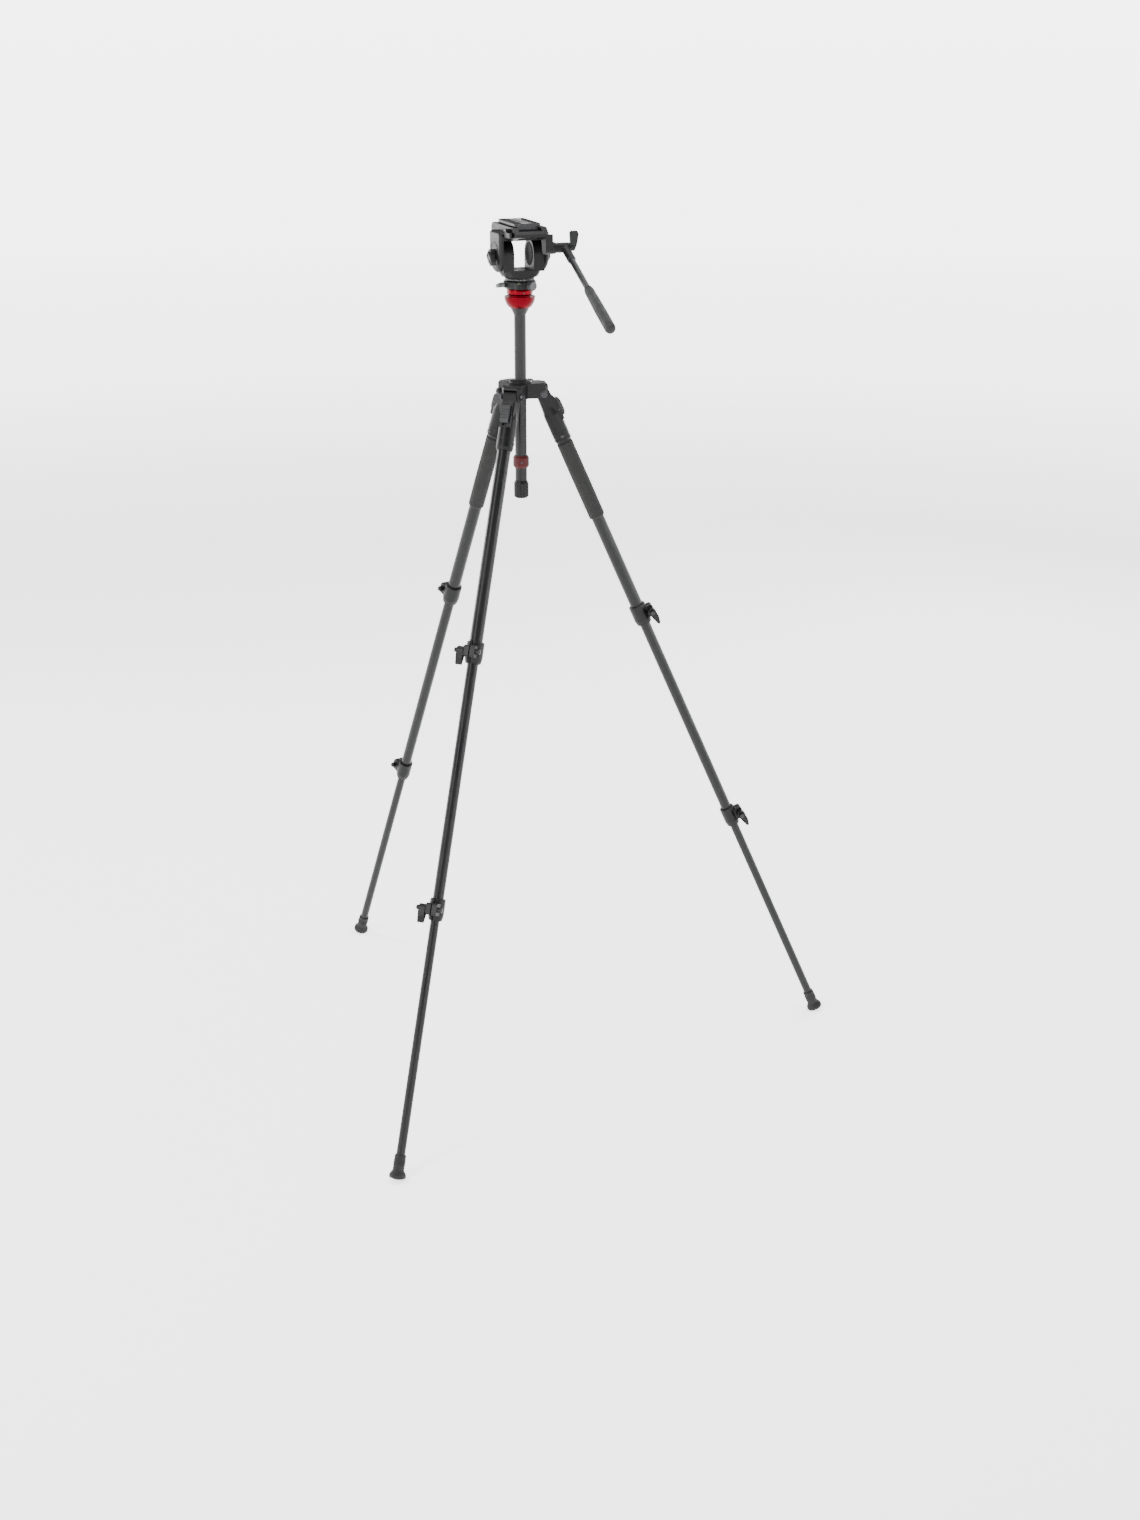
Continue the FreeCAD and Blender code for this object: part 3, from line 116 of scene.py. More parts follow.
# ---------------------------------------------------------------- finishes


class Finish:
    """Node tree of one material, with helpers that add a node and join it up."""

    def __init__(self, name):
        self.material = bpy.data.materials.new(name)
        self.material.use_nodes = True
        self.tree = self.material.node_tree
        self.shader = self.tree.nodes["Principled BSDF"]
        self.place = self.add("ShaderNodeTexCoord").outputs["Object"]

    def add(self, kind, settings=None, **inputs):
        node = self.tree.nodes.new(kind)
        for key, value in (settings or {}).items():
            setattr(node, key, value)
        for key, value in inputs.items():
            self.feed(node.inputs[key.replace("_", " ")], value)
        return node

    def feed(self, socket, value):
        if isinstance(value, bpy.types.NodeSocket):
            self.tree.links.new(value, socket)
        else:
            socket.default_value = value

    def set(self, key, value):
        self.feed(self.shader.inputs[key], value)

    def turned_place(self, turn, stretch):
        """Coordinates turned into a piece's own frame and stretched along its axes."""
        turned = self.add("ShaderNodeMapping", Vector=self.place, Rotation=turn)
        return self.add("ShaderNodeMapping", Vector=turned.outputs[0], Scale=stretch).outputs[0]

    def cloud(self, place, scale, detail=3.0):
        """Noise from 0 to 1; scale is in grains per metre."""
        return self.add("ShaderNodeTexNoise", Vector=place, Scale=scale, Detail=detail).outputs[0]

    def ranged(self, value, low, high, to_low, to_high):
        settings = {"interpolation_type": "SMOOTHSTEP"}
        node = self.add("ShaderNodeMapRange", settings, Value=value, From_Min=low, From_Max=high,
                        To_Min=to_low, To_Max=to_high)
        return node.outputs[0]

    def maths(self, operation, *values):
        node = self.tree.nodes.new("ShaderNodeMath")
        node.operation = operation
        for socket, value in zip(node.inputs, values):
            self.feed(socket, value)
        return node.outputs[0]

    def mixed(self, factor, first, second):
        """Colour between two colours."""
        node = self.add("ShaderNodeMix", {"data_type": "RGBA"})
        colour_inputs = [socket for socket in node.inputs if socket.type == "RGBA"]
        self.feed(node.inputs[0], factor)
        self.feed(colour_inputs[0], first)
        self.feed(colour_inputs[1], second)
        return next(socket for socket in node.outputs if socket.type == "RGBA")

    def soft_edges(self, radius):
        """(normal with rounded edges, mask that is 1 on the edges)."""
        bevel = self.add("ShaderNodeBevel", {"samples": 4}, Radius=radius)
        flat = self.add("ShaderNodeNewGeometry").outputs["Normal"]
        dot = self.add("ShaderNodeVectorMath", {"operation": "DOT_PRODUCT"})
        self.feed(dot.inputs[0], bevel.outputs[0])
        self.feed(dot.inputs[1], flat)
        return bevel.outputs[0], self.ranged(dot.outputs["Value"], 0.98, 0.86, 0.0, 1.0)

    def bumps(self, height, depth, normal):
        """Surface normal with relief of that depth in metres."""
        bump = self.add("ShaderNodeBump", Height=height, Distance=depth, Normal=normal)
        return bump.outputs[0]


def shade(colour, factor):
    return tuple(min(1.0, part * factor) for part in colour[:3]) + (1.0,)


def coated(name, colour, roughness, metallic=0.0, grain=1400, depth=0.03, spread=0.25,
           worn=(0.09, 0.09, 0.093, 1.0), wear=0.30, edge=0.45, gloss=0.5, stretch=(1, 1, 1)):
    """Paint, anodising or moulded plastic: mottled tone, fine grain and brighter worn edges.

    grain is in grains per metre, depth and edge are in millimetres, and stretch draws the
    grain out into lines."""
    finish = Finish(name)
    normal, edges = finish.soft_edges(edge * MM)
    broad = finish.cloud(finish.place, 38.0, 4.0)
    fine = finish.cloud(finish.turned_place((0, 0, 0), stretch), grain, 2.0)
    tone = finish.mixed(broad, shade(colour, 1 - spread), shade(colour, 1 + spread))
    rubbed = finish.ranged(finish.cloud(finish.place, 210.0, 5.0), 0.46, 0.64, 0.0, wear)
    finish.set("Base Color", finish.mixed(finish.maths("MULTIPLY", edges, rubbed), tone, worn))
    smudge = finish.ranged(finish.cloud(finish.place, 16.0, 5.0), 0.35, 0.68, -0.05, 0.06)
    speck = finish.ranged(fine, 0.3, 0.7, -0.04, 0.04)
    total = finish.maths("ADD", finish.maths("ADD", smudge, speck), roughness)
    finish.set("Roughness", total)
    finish.set("Metallic", metallic)
    finish.set("Specular IOR Level", gloss)
    finish.set("Normal", finish.bumps(fine, depth * MM, normal))
    return finish.material


def drawn_tube(name, turn):
    """Black anodised drawn tube: faint lines along it and a few hairline scratches."""
    finish = Finish(name)
    colour = (0.009, 0.009, 0.0095)
    broad = finish.cloud(finish.place, 12.0, 4.0)
    lines = finish.cloud(finish.turned_place(turn, (1, 1, 0.008)), 2600.0, 2.0)
    hairs = finish.cloud(finish.turned_place(turn, (1, 1, 0.03)), 900.0, 1.0)
    scratch = finish.ranged(hairs, 0.69, 0.74, 0.0, 0.5)
    sparse = finish.ranged(finish.cloud(finish.place, 30.0, 2.0), 0.5, 0.62, 0.0, 1.0)
    scratch = finish.maths("MULTIPLY", scratch, sparse)
    tone = finish.mixed(broad, shade(colour, 0.8), shade(colour, 1.25))
    finish.set("Base Color", finish.mixed(scratch, tone, (0.07, 0.07, 0.074, 1.0)))
    rough = finish.ranged(lines, 0.3, 0.7, 0.22, 0.32)
    handled = finish.ranged(finish.cloud(finish.place, 9.0, 4.0), 0.4, 0.65, 0.0, 0.08)
    finish.set("Roughness", finish.maths("ADD", rough, handled))
    finish.set("Metallic", 0.35)
    finish.set("Specular IOR Level", 0.28)
    normal, _ = finish.soft_edges(0.3 * MM)
    finish.set("Normal", finish.bumps(lines, 0.012 * MM, normal))
    return finish.material


def turned_metal(name, colour, roughness, metallic=1.0, turn=(0, 0, 0)):
    """Lathe-turned metal: fine rings round the piece's axis, and a painted highlight on every edge."""
    finish = Finish(name)
    normal, edges = finish.soft_edges(0.3 * MM)
    rings = finish.cloud(finish.turned_place(turn, (0.01, 0.01, 1)), 5200.0, 2.0)
    broad = finish.cloud(finish.place, 45.0, 4.0)
    tone = finish.mixed(broad, shade(colour, 0.86), shade(colour, 1.12))
    # Edges painted lighter all round: a painted edge highlight, not wear.
    painted_edge_highlight = finish.maths("MULTIPLY", edges, 0.35)
    finish.set("Base Color", finish.mixed(painted_edge_highlight, tone, shade(colour, 1.7)))
    smudge = finish.ranged(finish.cloud(finish.place, 60.0, 5.0), 0.4, 0.7, 0.0, 0.09)
    ringed = finish.ranged(rings, 0.3, 0.7, roughness - 0.05, roughness + 0.05)
    finish.set("Roughness", finish.maths("ADD", ringed, smudge))
    finish.set("Metallic", metallic)
    finish.set("Normal", finish.bumps(rings, 0.006 * MM, normal))
    return finish.material


def sponge(name, colour):
    """Closed-cell foam sleeve: small pits, high spots coloured lighter than the pits, no gloss."""
    finish = Finish(name)
    cells = finish.add("ShaderNodeTexVoronoi", Vector=finish.place, Scale=780.0).outputs["Distance"]
    fine = finish.cloud(finish.place, 2400.0, 3.0)
    relief = finish.maths("ADD", cells, finish.maths("MULTIPLY", fine, 0.6))
    broad = finish.cloud(finish.place, 26.0, 5.0)
    tone = finish.mixed(broad, shade(colour, 0.72), shade(colour, 1.35))
    # Colour follows the relief: high spots lighter, pits darker.
    lighter_high_spots = finish.ranged(relief, 0.75, 1.15, 0.0, 0.45)
    finish.set("Base Color", finish.mixed(lighter_high_spots, tone, (0.032, 0.032, 0.031, 1.0)))
    finish.set("Roughness", finish.ranged(broad, 0.3, 0.7, 0.78, 0.94))
    finish.set("Specular IOR Level", 0.2)
    finish.set("Sheen Weight", 0.05)
    finish.set("Sheen Roughness", 0.5)
    finish.set("Normal", finish.bumps(relief, 0.16 * MM, finish.soft_edges(0.8 * MM)[0]))
    return finish.material


def moulded_rubber(name, colour, roughness=0.62, grain=1900, depth=0.05):
    """Matt moulded rubber with a fine spark-eroded grain and chalky scuffs."""
    finish = Finish(name)
    normal, edges = finish.soft_edges(0.5 * MM)
    fine = finish.cloud(finish.place, grain, 4.0)
    broad = finish.cloud(finish.place, 55.0, 5.0)
    scuff = finish.ranged(finish.cloud(finish.place, 120.0, 6.0), 0.55, 0.72, 0.0, 0.35)
    scuff = finish.maths("MAXIMUM", scuff, finish.maths("MULTIPLY", edges, 0.22))
    tone = finish.mixed(broad, shade(colour, 0.8), shade(colour, 1.25))
    finish.set("Base Color", finish.mixed(scuff, tone, (0.030, 0.030, 0.029, 1.0)))
    finish.set("Roughness", finish.ranged(broad, 0.3, 0.7, roughness - 0.06, roughness + 0.1))
    finish.set("Specular IOR Level", 0.25)
    finish.set("Normal", finish.bumps(fine, depth * MM, normal))
    return finish.material


def level_fluid(name):
    """Clear vial with yellow-green fluid."""
    finish = Finish(name)
    broad = finish.cloud(finish.place, 320.0, 2.0)
    finish.set("Base Color", finish.mixed(broad, (0.42, 0.66, 0.05, 1.0), (0.55, 0.80, 0.12, 1.0)))
    finish.set("Roughness", finish.ranged(broad, 0.3, 0.7, 0.03, 0.08))
    finish.set("Transmission Weight", 0.55)
    finish.set("IOR", 1.49)
    finish.set("Coat Weight", 0.6)
    finish.set("Coat Roughness", 0.04)
    return finish.material


def axis_turn(frame_matrix):
    """Mapping rotation that brings a local frame's axes back onto X, Y and Z."""
    return frame_matrix.to_3x3().inverted().to_euler()


leg_turns = {leg: axis_turn(leg_frames[leg]) for leg in LEGS}
sideways = Euler((0, math.pi / 2, 0))
finishes = {
    "black_casting": coated("black_powder_coat", (0.0035, 0.0035, 0.0038), 0.40, grain=2300,
                            depth=0.055, edge=0.6, gloss=0.16),
    "grey_selector": coated("dark_grey_catch", (0.016, 0.0165, 0.0175), 0.46, spread=0.12,
                            gloss=0.25),
    "black_lock": coated("black_moulding", (0.005, 0.005, 0.0053), 0.38, grain=3000,
                         depth=0.025, edge=0.5, wear=0.22, gloss=0.18),
    "black_rubber": moulded_rubber("foot_rubber", (0.009, 0.009, 0.009)),
    "foam_grip": sponge("sponge_foam", (0.011, 0.0115, 0.011)),
    "steel": turned_metal("turned_steel", (0.52, 0.52, 0.53), 0.28),
    "red_anodised": turned_metal("red_anodised", (0.10, 0.0006, 0.0045), 0.30, metallic=0.95),
    "red_ring": coated("red_moulding", (0.040, 0.0010, 0.0016), 0.46, spread=0.12,
                       worn=(0.08, 0.008, 0.008, 1.0), gloss=0.2),
    "slide_liner": coated("slippery_liner", (0.70, 0.69, 0.64), 0.45, spread=0.06),
    "grey_lever": coated("grey_lever_moulding", (0.10, 0.103, 0.107), 0.38, spread=0.08,
                         worn=(0.2, 0.2, 0.205, 1.0)),
    "dark_grey_knob": coated("dark_grey_moulding", (0.020, 0.021, 0.023), 0.38, spread=0.15),
    "bubble": level_fluid("level_fluid"),
    "black_plate": coated("black_plate_anodising", (0.012, 0.012, 0.013), 0.32, metallic=0.4,
                          grain=3200, depth=0.02, stretch=(1, 0.02, 1), gloss=0.35),
    "black_anodised": drawn_tube("drawn_tube_upright", (0, 0, 0)),
}
tube_finishes = {leg: drawn_tube("drawn_tube_" + leg, leg_turns[leg]) for leg in LEGS}
handle_tube_finish = drawn_tube("drawn_tube_handle",
                                axis_turn(handle_frame @ Matrix.Rotation(math.pi / 2, 4, "X")))
cover_paint = coated("matt_cover_paint", (0.005, 0.005, 0.0053), 0.74, wear=0.1, gloss=0.08)
scale_paint = coated("scale_paint", (0.55, 0.55, 0.54), 0.5, spread=0.1, depth=0.01)
grip_rubber = moulded_rubber("grip_rubber", (0.010, 0.010, 0.010), roughness=0.55, grain=2600)
pad_rubber = moulded_rubber("plate_pad_rubber", (0.013, 0.013, 0.0135), roughness=0.72, grain=2200)
dark_screw = turned_metal("blackened_screw", (0.035, 0.035, 0.038), 0.30, metallic=0.8)
cross_steel = turned_metal("turned_steel_crosswise", (0.50, 0.50, 0.51), 0.30, turn=sideways)


def repaint_frame():
    """Give every CAD node its finish."""
    for part in frame["record"]["subparts"]:
        node = part["node"]
        leg = node.rsplit("_", 1)[-1]
        finish = finishes[part["material_slot"]]
        if "_tube_" in node:
            finish = tube_finishes[leg]
        elif node == "handle_tube":
            finish = handle_tube_finish
        elif node in ("tilt_axles", "tilt_fluid_cartridges"):
            finish = cross_steel
        elif node == "leg_pivot_pins":
            finish = dark_screw
        for slot in frame["nodes"][node].material_slots:
            slot.material = finish


# ---------------------------------------------------------------- mesh building


def hexagon(angle):
    """Radius factor of a hexagon whose flats are at the given radius."""
    sixth = math.pi / 3
    return 1 / math.cos((angle + sixth / 2) % sixth - sixth / 2)


def teeth(count, depth):
    """Radius factor of a wheel with that many rounded teeth, as a share of its radius."""
    return lambda angle: 1 - depth * (0.5 + 0.5 * math.cos(count * angle))


def lathe(mesh, profile, place, segments=36, closed=False):
    """Turn a profile of (radius, height[, radius factor by angle]) in mm about local Z."""
    rings = []
    for radius, height, *shape in profile:
        if radius == 0:
            rings.append([mesh.verts.new(place @ mm(0, 0, height))])
            continue
        factor = shape[0] if shape else lambda angle: 1.0
        ring = []
        for step in range(segments):
            angle = 2 * math.pi * step / segments
            reach = radius * factor(angle)
            point = mm(reach * math.cos(angle), reach * math.sin(angle), height)
            ring.append(mesh.verts.new(place @ point))
        rings.append(ring)
    pairs = list(zip(rings, rings[1:]))
    if closed:
        pairs.append((rings[-1], rings[0]))
    for first, second in pairs:
        for step in range(segments):
            after = (step + 1) % segments
            corners = [first[step % len(first)], first[after % len(first)],
                       second[after % len(second)], second[step % len(second)]]
            corners = [corner for n, corner in enumerate(corners) if corner not in corners[:n]]
            mesh.faces.new(corners)


def bar(mesh, length, radius, place):
    """Round-ended bar along local Z, centred on the place."""
    half = length / 2
    profile = [(0, -half)]
    for degrees in (30, 60, 90):
        angle = math.radians(degrees)
        profile.append((radius * math.sin(angle), -half + radius * (1 - math.cos(angle))))
    profile += [(reach, -height) for reach, height in reversed(profile)]
    lathe(mesh, profile, place, segments=14)


def slab(mesh, outline, low, high, place, bevel=0.0):
    """Plate with an outline of (x, y) in mm between two heights, with softened edges."""
    top = [mesh.verts.new(place @ mm(x, y, high)) for x, y in outline]
    bottom = [mesh.verts.new(place @ mm(x, y, low)) for x, y in outline]
    faces = [mesh.faces.new(top), mesh.faces.new(list(reversed(bottom)))]
    count = len(outline)
    for n in range(count):
        after = (n + 1) % count
        faces.append(mesh.faces.new([top[n], bottom[n], bottom[after], top[after]]))
    if bevel:
        edges = list({edge for face in faces for edge in face.edges})
        bmesh.ops.bevel(mesh, geom=edges, offset=bevel * MM, segments=2, profile=0.6,
                        affect="EDGES")


def rectangle(x0, y0, x1, y1):
    return [(x0, y0), (x1, y0), (x1, y1), (x0, y1)]


def add_piece(name, mesh, body, finish, angle=32):
    """Make an object of a built mesh, with its finish, on its body."""
    bmesh.ops.recalc_face_normals(mesh, faces=mesh.faces)
    data = bpy.data.meshes.new(name)
    mesh.to_mesh(data)
    mesh.free()
    data.shade_smooth()
    data.set_sharp_from_angle(angle=math.radians(angle))
    piece = bpy.data.objects.new(name, data)
    bpy.context.scene.collection.objects.link(piece)
    data.materials.append(finish)
    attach(piece, body)
    return piece


def cap_screw(mesh, place, radius, height, sink=0.4):
    """Button-head screw with a hexagon socket, sunk a little into its seat."""
    socket = radius * 0.46
    profile = [
        (0, -sink),
        (radius, -sink),
        (radius, height * 0.35),
        (radius * 0.93, height * 0.72),
        (radius * 0.72, height),
        (socket * 1.3, height),
        (socket * 1.04, height - 0.05, hexagon),
        (socket, height - 0.16, hexagon),
        (socket, height * 0.15, hexagon),
        (0, height * 0.1),
    ]
    lathe(mesh, profile, place, segments=36)


def hex_nut(mesh, place, flat, height, stud):
    """Hexagon nut with a chamfered face, and the end of its stud."""
    profile = [
        (0, -0.3),
        (flat, -0.3, hexagon),
        (flat, height * 0.75, hexagon),
        (flat, height),
        (stud + 0.4, height),
        (stud, height - 0.3),
        (stud, height + 0.7),
        (stud - 0.5, height + 1.2),
        (0, height + 1.25),
    ]
    lathe(mesh, profile, place, segments=36)


def ring(mesh, place, inner, outer, low, high, soft=0.3):
    """Round band with softened corners, closed all round."""
    profile = [
        (inner, low + soft),
        (inner + soft, low),
        (outer - soft, low),
        (outer, low + soft),
        (outer, high - soft),
        (outer - soft, high),
        (inner + soft, high),
        (inner, high - soft),
    ]
    lathe(mesh, profile, place, segments=64, closed=True)


def around(count, start=0.0):
    return [start + 2 * math.pi * n / count for n in range(count)]


# ---------------------------------------------------------------- legs

BRACKET_LENGTH = 101
RAIL_HALF_WIDTH = 11
RAIL_MIDDLE = (15.3, -40)
BARREL_RADIUS = 16
PIN_FACE = 21.6
GRIP_TOP = BRACKET_LENGTH + 1
GRIP_LENGTH = 160
GRIP_RADIUS = 15.5
TUBE_RADIUS = 12.25
PINCH_SCREW_RISE = 13
RIM_RISES = (6, 21)
ROLL_PIN_END = [(0, -0.3), (1.9, -0.3), (1.9, 0.3), (1.6, 0.55), (1.0, 0.55), (0.9, 0.1), (0, 0.1)]


def make_pivot_screws(leg):
    """Screw head on one end of the leg's pivot and a lock nut on the other."""
    mesh = bmesh.new()
    place = leg_frames[leg]
    cap_screw(mesh, place @ aimed((0, -PIN_FACE, 0), -Y), 5.2, 1.7)
    hex_nut(mesh, place @ aimed((0, PIN_FACE, 0), Y), 4.4, 2.2, 2.4)
    add_piece("pivot_screw_" + leg, mesh, "spider", dark_screw)


def make_bracket_fittings(leg):
    """Pinch screws that hold the bracket on its tube, and the catch's roll pin."""
    mesh = bmesh.new()
    place = leg_frames[leg]
    for side in (-1, 1):
        across = Y * side
        level = -BRACKET_LENGTH + PINCH_SCREW_RISE
        seat = place @ aimed((0, side * BARREL_RADIUS, level), across)
        cap_screw(mesh, seat, 3.3, 1.3, sink=0.9)
        out, level = RAIL_MIDDLE
        pin_end = place @ aimed((out, side * RAIL_HALF_WIDTH, level), across)
        lathe(mesh, ROLL_PIN_END, pin_end, segments=24)
    add_piece("bracket_screws_" + leg, mesh, "leg_" + leg, dark_screw)


def make_bracket_trim(leg):
    """Raised rims round the bracket's barrel."""
    mesh = bmesh.new()
    place = leg_frames[leg]
    for rise in RIM_RISES:
        seat = place @ aimed((0, 0, rise - BRACKET_LENGTH), Z)
        ring(mesh, seat, BARREL_RADIUS - 0.6, BARREL_RADIUS + 0.45, -0.9, 0.9)
    add_piece("bracket_rims_" + leg, mesh, "leg_" + leg,
              finishes["black_casting"])


SLEEVE_END = 3.2
SLEEVE_SKIN = GRIP_RADIUS - 0.35
SLEEVE_ROUNDING = 2.4
SLEEVE_SWELL = 0.168
DENT_DEPTH = 0.16
DENTS_ROUND = 2.2
DENT_LENGTH = 14


def make_foam_sleeve(leg):
    """Foam sleeve under the bracket: rounded ends, a slight swell and hand-worn dents."""
    mesh = bmesh.new()
    place = leg_frames[leg]
    stations = 74
    segments = 48
    outer = []
    for n in range(stations + 1):
        share = n / stations
        down = GRIP_LENGTH * share
        end = min(down, GRIP_LENGTH - down)
        inset = max(0.0, 1 - end / SLEEVE_END)
        rounding = SLEEVE_ROUNDING * (1 - math.sqrt(1 - inset ** 2))
        swell = SLEEVE_SWELL * math.sin(math.pi * share) ** 2
        outer.append((down, SLEEVE_SKIN - rounding + swell))
    inner_radius = TUBE_RADIUS + 0.05
    rings = []
    levels = [(0, inner_radius)] + outer + [(GRIP_LENGTH, inner_radius)]
    for number, (down, radius) in enumerate(levels):
        ring_points = []
        on_skin = 0 < number < len(levels) - 1
        for step in range(segments):
            angle = 2 * math.pi * step / segments
            spot = Vector((math.cos(angle) * DENTS_ROUND, math.sin(angle) * DENTS_ROUND,
                           down / DENT_LENGTH))
            dent = DENT_DEPTH * noise.noise(spot) if on_skin else 0.0
            reach = radius + dent
            point = mm(reach * math.cos(angle), reach * math.sin(angle), -GRIP_TOP - down)
            ring_points.append(mesh.verts.new(place @ point))
        rings.append(ring_points)
    for first, second in list(zip(rings, rings[1:])) + [(rings[-1], rings[0])]:
        for step in range(segments):
            after = (step + 1) % segments
            mesh.faces.new([first[step], first[after], second[after], second[step]])
    sleeve = add_piece("foam_sleeve_" + leg, mesh, "leg_" + leg,
                       finishes["foam_grip"], angle=60)
    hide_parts("leg_grip_" + leg)


LOCKS = (
    ("upper", "leg_", 10.2),
    ("lower", "middle_section_", 8.25),
)


def make_lock_details(leg, level, body, sliding):
    """Guide bush under the collar, and the nut and cap on the tension pin's ends."""
    lever = "{}_lever_flip_{}".format(level, leg)
    place = leg_frames[leg]
    pin = place.inverted() @ pivot(lever) / MM
    distance = pin.z
    bush = bmesh.new()
    ring(bush, place @ aimed((0, 0, distance - 20), Z), sliding + 0.12, sliding + 2.5, -1.3, 0.2)
    add_piece("guide_bush_{}_{}".format(level, leg), bush, body,
              finishes["black_lock"])
    ends = bmesh.new()
    hex_nut(ends, place @ aimed((pin.x, 17.4, distance), Y), 4.1, 1.8, 2.3)
    cap_screw(ends, place @ aimed((pin.x, -30, distance), -Y), 4.0, 1.3)
    add_piece("tension_pin_ends_{}_{}".format(level, leg), ends, body, dark_screw)


LEVER_FACE = 9
LEVER_REACH_HALF = 13.5
LEVER_TAPER = 2.5
LEVER_RIB_DROPS = (16.0, 18.6, 21.2, 23.8)


def make_lever_ribs(leg, level):
    """Thumb ribs across the outer face of a flip lever."""
    mesh = bmesh.new()
    place = leg_frames[leg]
    pin = place.inverted() @ pivot("{}_lever_flip_{}".format(level, leg)) / MM
    for drop in LEVER_RIB_DROPS:
        taper = (drop - LEVER_REACH_HALF) * LEVER_TAPER / LEVER_REACH_HALF
        out = pin.x + LEVER_FACE - taper - 0.25
        bar(mesh, 9.5, 0.75, place @ aimed((out, pin.y + 0.1, pin.z - drop), Y))
    name = "{}_lock_lever_{}".format(level, leg)
    add_piece("thumb_ribs_{}_{}".format(level, leg), mesh, name,
              finishes["black_lock"])


FOOT_NECK_RADIUS = 10.9
FOOT_RIB_RISES = (12.5, 9.2, 5.9)


def make_foot_ribs(leg):
    """Ribs round the neck of the rubber foot."""
    mesh = bmesh.new()
    place = leg_frames[leg]
    low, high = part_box("foot_" + leg)
    sole = (place.inverted() @ ((low + high) / 2)) / MM
    for rise in FOOT_RIB_RISES:
        seat = place @ aimed((0, 0, sole.z + rise), Z)
        ring(mesh, seat, FOOT_NECK_RADIUS - 1.5, FOOT_NECK_RADIUS + 0.35, -0.8, 0.8, 0.4)
    add_piece("foot_ribs_" + leg, mesh, "lower_section_" + leg,
              finishes["black_rubber"])


# ---------------------------------------------------------------- middle

def make_spider_details():
    """Guide bush round the column and three screws in the hub's top."""
    hub_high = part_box("spider")[1].z / MM
    bush = bmesh.new()
    top = Matrix.Translation(mm(0, 0, hub_high))
    ring(bush, top, 11.25, 13.4, -0.4, 1.4, 0.5)
    add_piece("column_guide_bush", bush, "spider", finishes["black_lock"])
    screws = bmesh.new()
    start = math.atan2(*(pivot("column_lock_turn").yx))
    for angle in around(3, start):
        point = (15.9 * math.cos(angle), 15.9 * math.sin(angle), 0)
        cap_screw(screws, top @ aimed(point, Z), 1.9, 0.8)
    add_piece("hub_screws", screws, "spider", dark_screw)


COLUMN_KNOB_END = 48
NECK_RADIUS = 24


def make_knob_caps():
    """Pressed-in caps on the ends of the column lock knob and the levelling knob."""
    outward = joint_axis("column_lock_turn")
    level = pivot("column_lock_turn").z / MM
    seat = aimed(outward * COLUMN_KNOB_END + Z * level, outward)
    mesh = bmesh.new()
    cap = [(0, -0.3), (6.2, -0.3), (6.2, 0.25), (5.8, 0.6), (4.9, 0.6), (4.6, 0.35), (0, 0.35)]
    lathe(mesh, cap, seat, segments=48)
    add_piece("column_lock_knob_cap", mesh, "column_lock_knob",
              finishes["dark_grey_knob"])
    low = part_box("levelling_knob")[0].z / MM
    mesh = bmesh.new()
    cap = [(0, -0.3), (8.6, -0.3), (8.6, 0.3), (8.1, 0.7), (6.6, 0.7), (6.2, 0.4), (0, 0.4)]
    lathe(mesh, cap, aimed((0, 0, low), -Z), segments=48)
    add_piece("levelling_knob_cap", mesh, "levelling_knob", finishes["red_ring"])


def make_ring_screw():
    """Grub screw in the stop ring."""
    low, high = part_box("safety_ring")
    level = (low.z + high.z) / 2 / MM
    mesh = bmesh.new()
    outward = Vector((-0.25, -1, 0)).normalized()
    cap_screw(mesh, aimed(outward * 15 + Z * level, outward), 2.1, 0.35)
    add_piece("stop_ring_screw", mesh, "centre_column", dark_screw)


def make_neck_screws():
    """Grub screws round the ball's neck that hold it to the pan base."""
    mesh = bmesh.new()
    for angle in around(3, math.radians(-90)):
        outward = Vector((math.cos(angle), math.sin(angle), 0))
        cap_screw(mesh, ball_frame @ aimed(outward * NECK_RADIUS + Z * 7.5, outward), 1.5, 0.3)
    add_piece("neck_screws", mesh, "head_base", dark_screw)


# ---------------------------------------------------------------- head

def make_pan_scale():
    """Degree marks round the yoke's base."""
    mesh = bmesh.new()
    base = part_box("head_yoke")[0].z / MM
    for n, angle in enumerate(around(72)):
        tall = 2.6 if n % 6 == 0 else 1.5
        outward = Vector((math.cos(angle), math.sin(angle), 0))
        place = aimed(outward * 26.95 + Z * (base + 1.4), outward)
        upright = place.inverted().to_3x3() @ Z
        along_x = abs(upright.x) > abs(upright.y)
        side = 1 if (upright.x if along_x else upright.y) > 0 else -1
        half = 0.16
        outline = rectangle(0, -half, tall, half) if along_x else rectangle(-half, 0, half, tall)
        if side < 0:
            outline = [(-x, -y) for x, y in outline]
        slab(mesh, outline, -0.1, 0.12, place)
    add_piece("pan_scale", mesh, "pan_body", scale_paint)


DRUM_INNER = 18.5
CHEEK_FACE = 48


def make_drum_covers():
    """Cover plates on the drums' window faces, each held by three screws."""
    covers = bmesh.new()
    screws = bmesh.new()
    for side in (-1, 1):
        inward = X * -side
        seat = head_frame @ aimed((side * DRUM_INNER, 0, 0), inward)
        plate = [(0, -0.2), (21, -0.2), (21, 0.35), (20.5, 0.7), (10, 0.7), (9.4, 0.4), (0, 0.4)]
        lathe(covers, plate, seat, segments=72)
        for angle in around(3, math.pi / 6):
            spot = seat @ Matrix.Translation(mm(16 * math.cos(angle), 16 * math.sin(angle), 0.7))
            cap_screw(screws, spot, 1.7, 0.8, sink=0.3)
    add_piece("drum_covers", covers, "pan_body", cover_paint)
    add_piece("drum_cover_screws", screws, "pan_body", dark_screw)


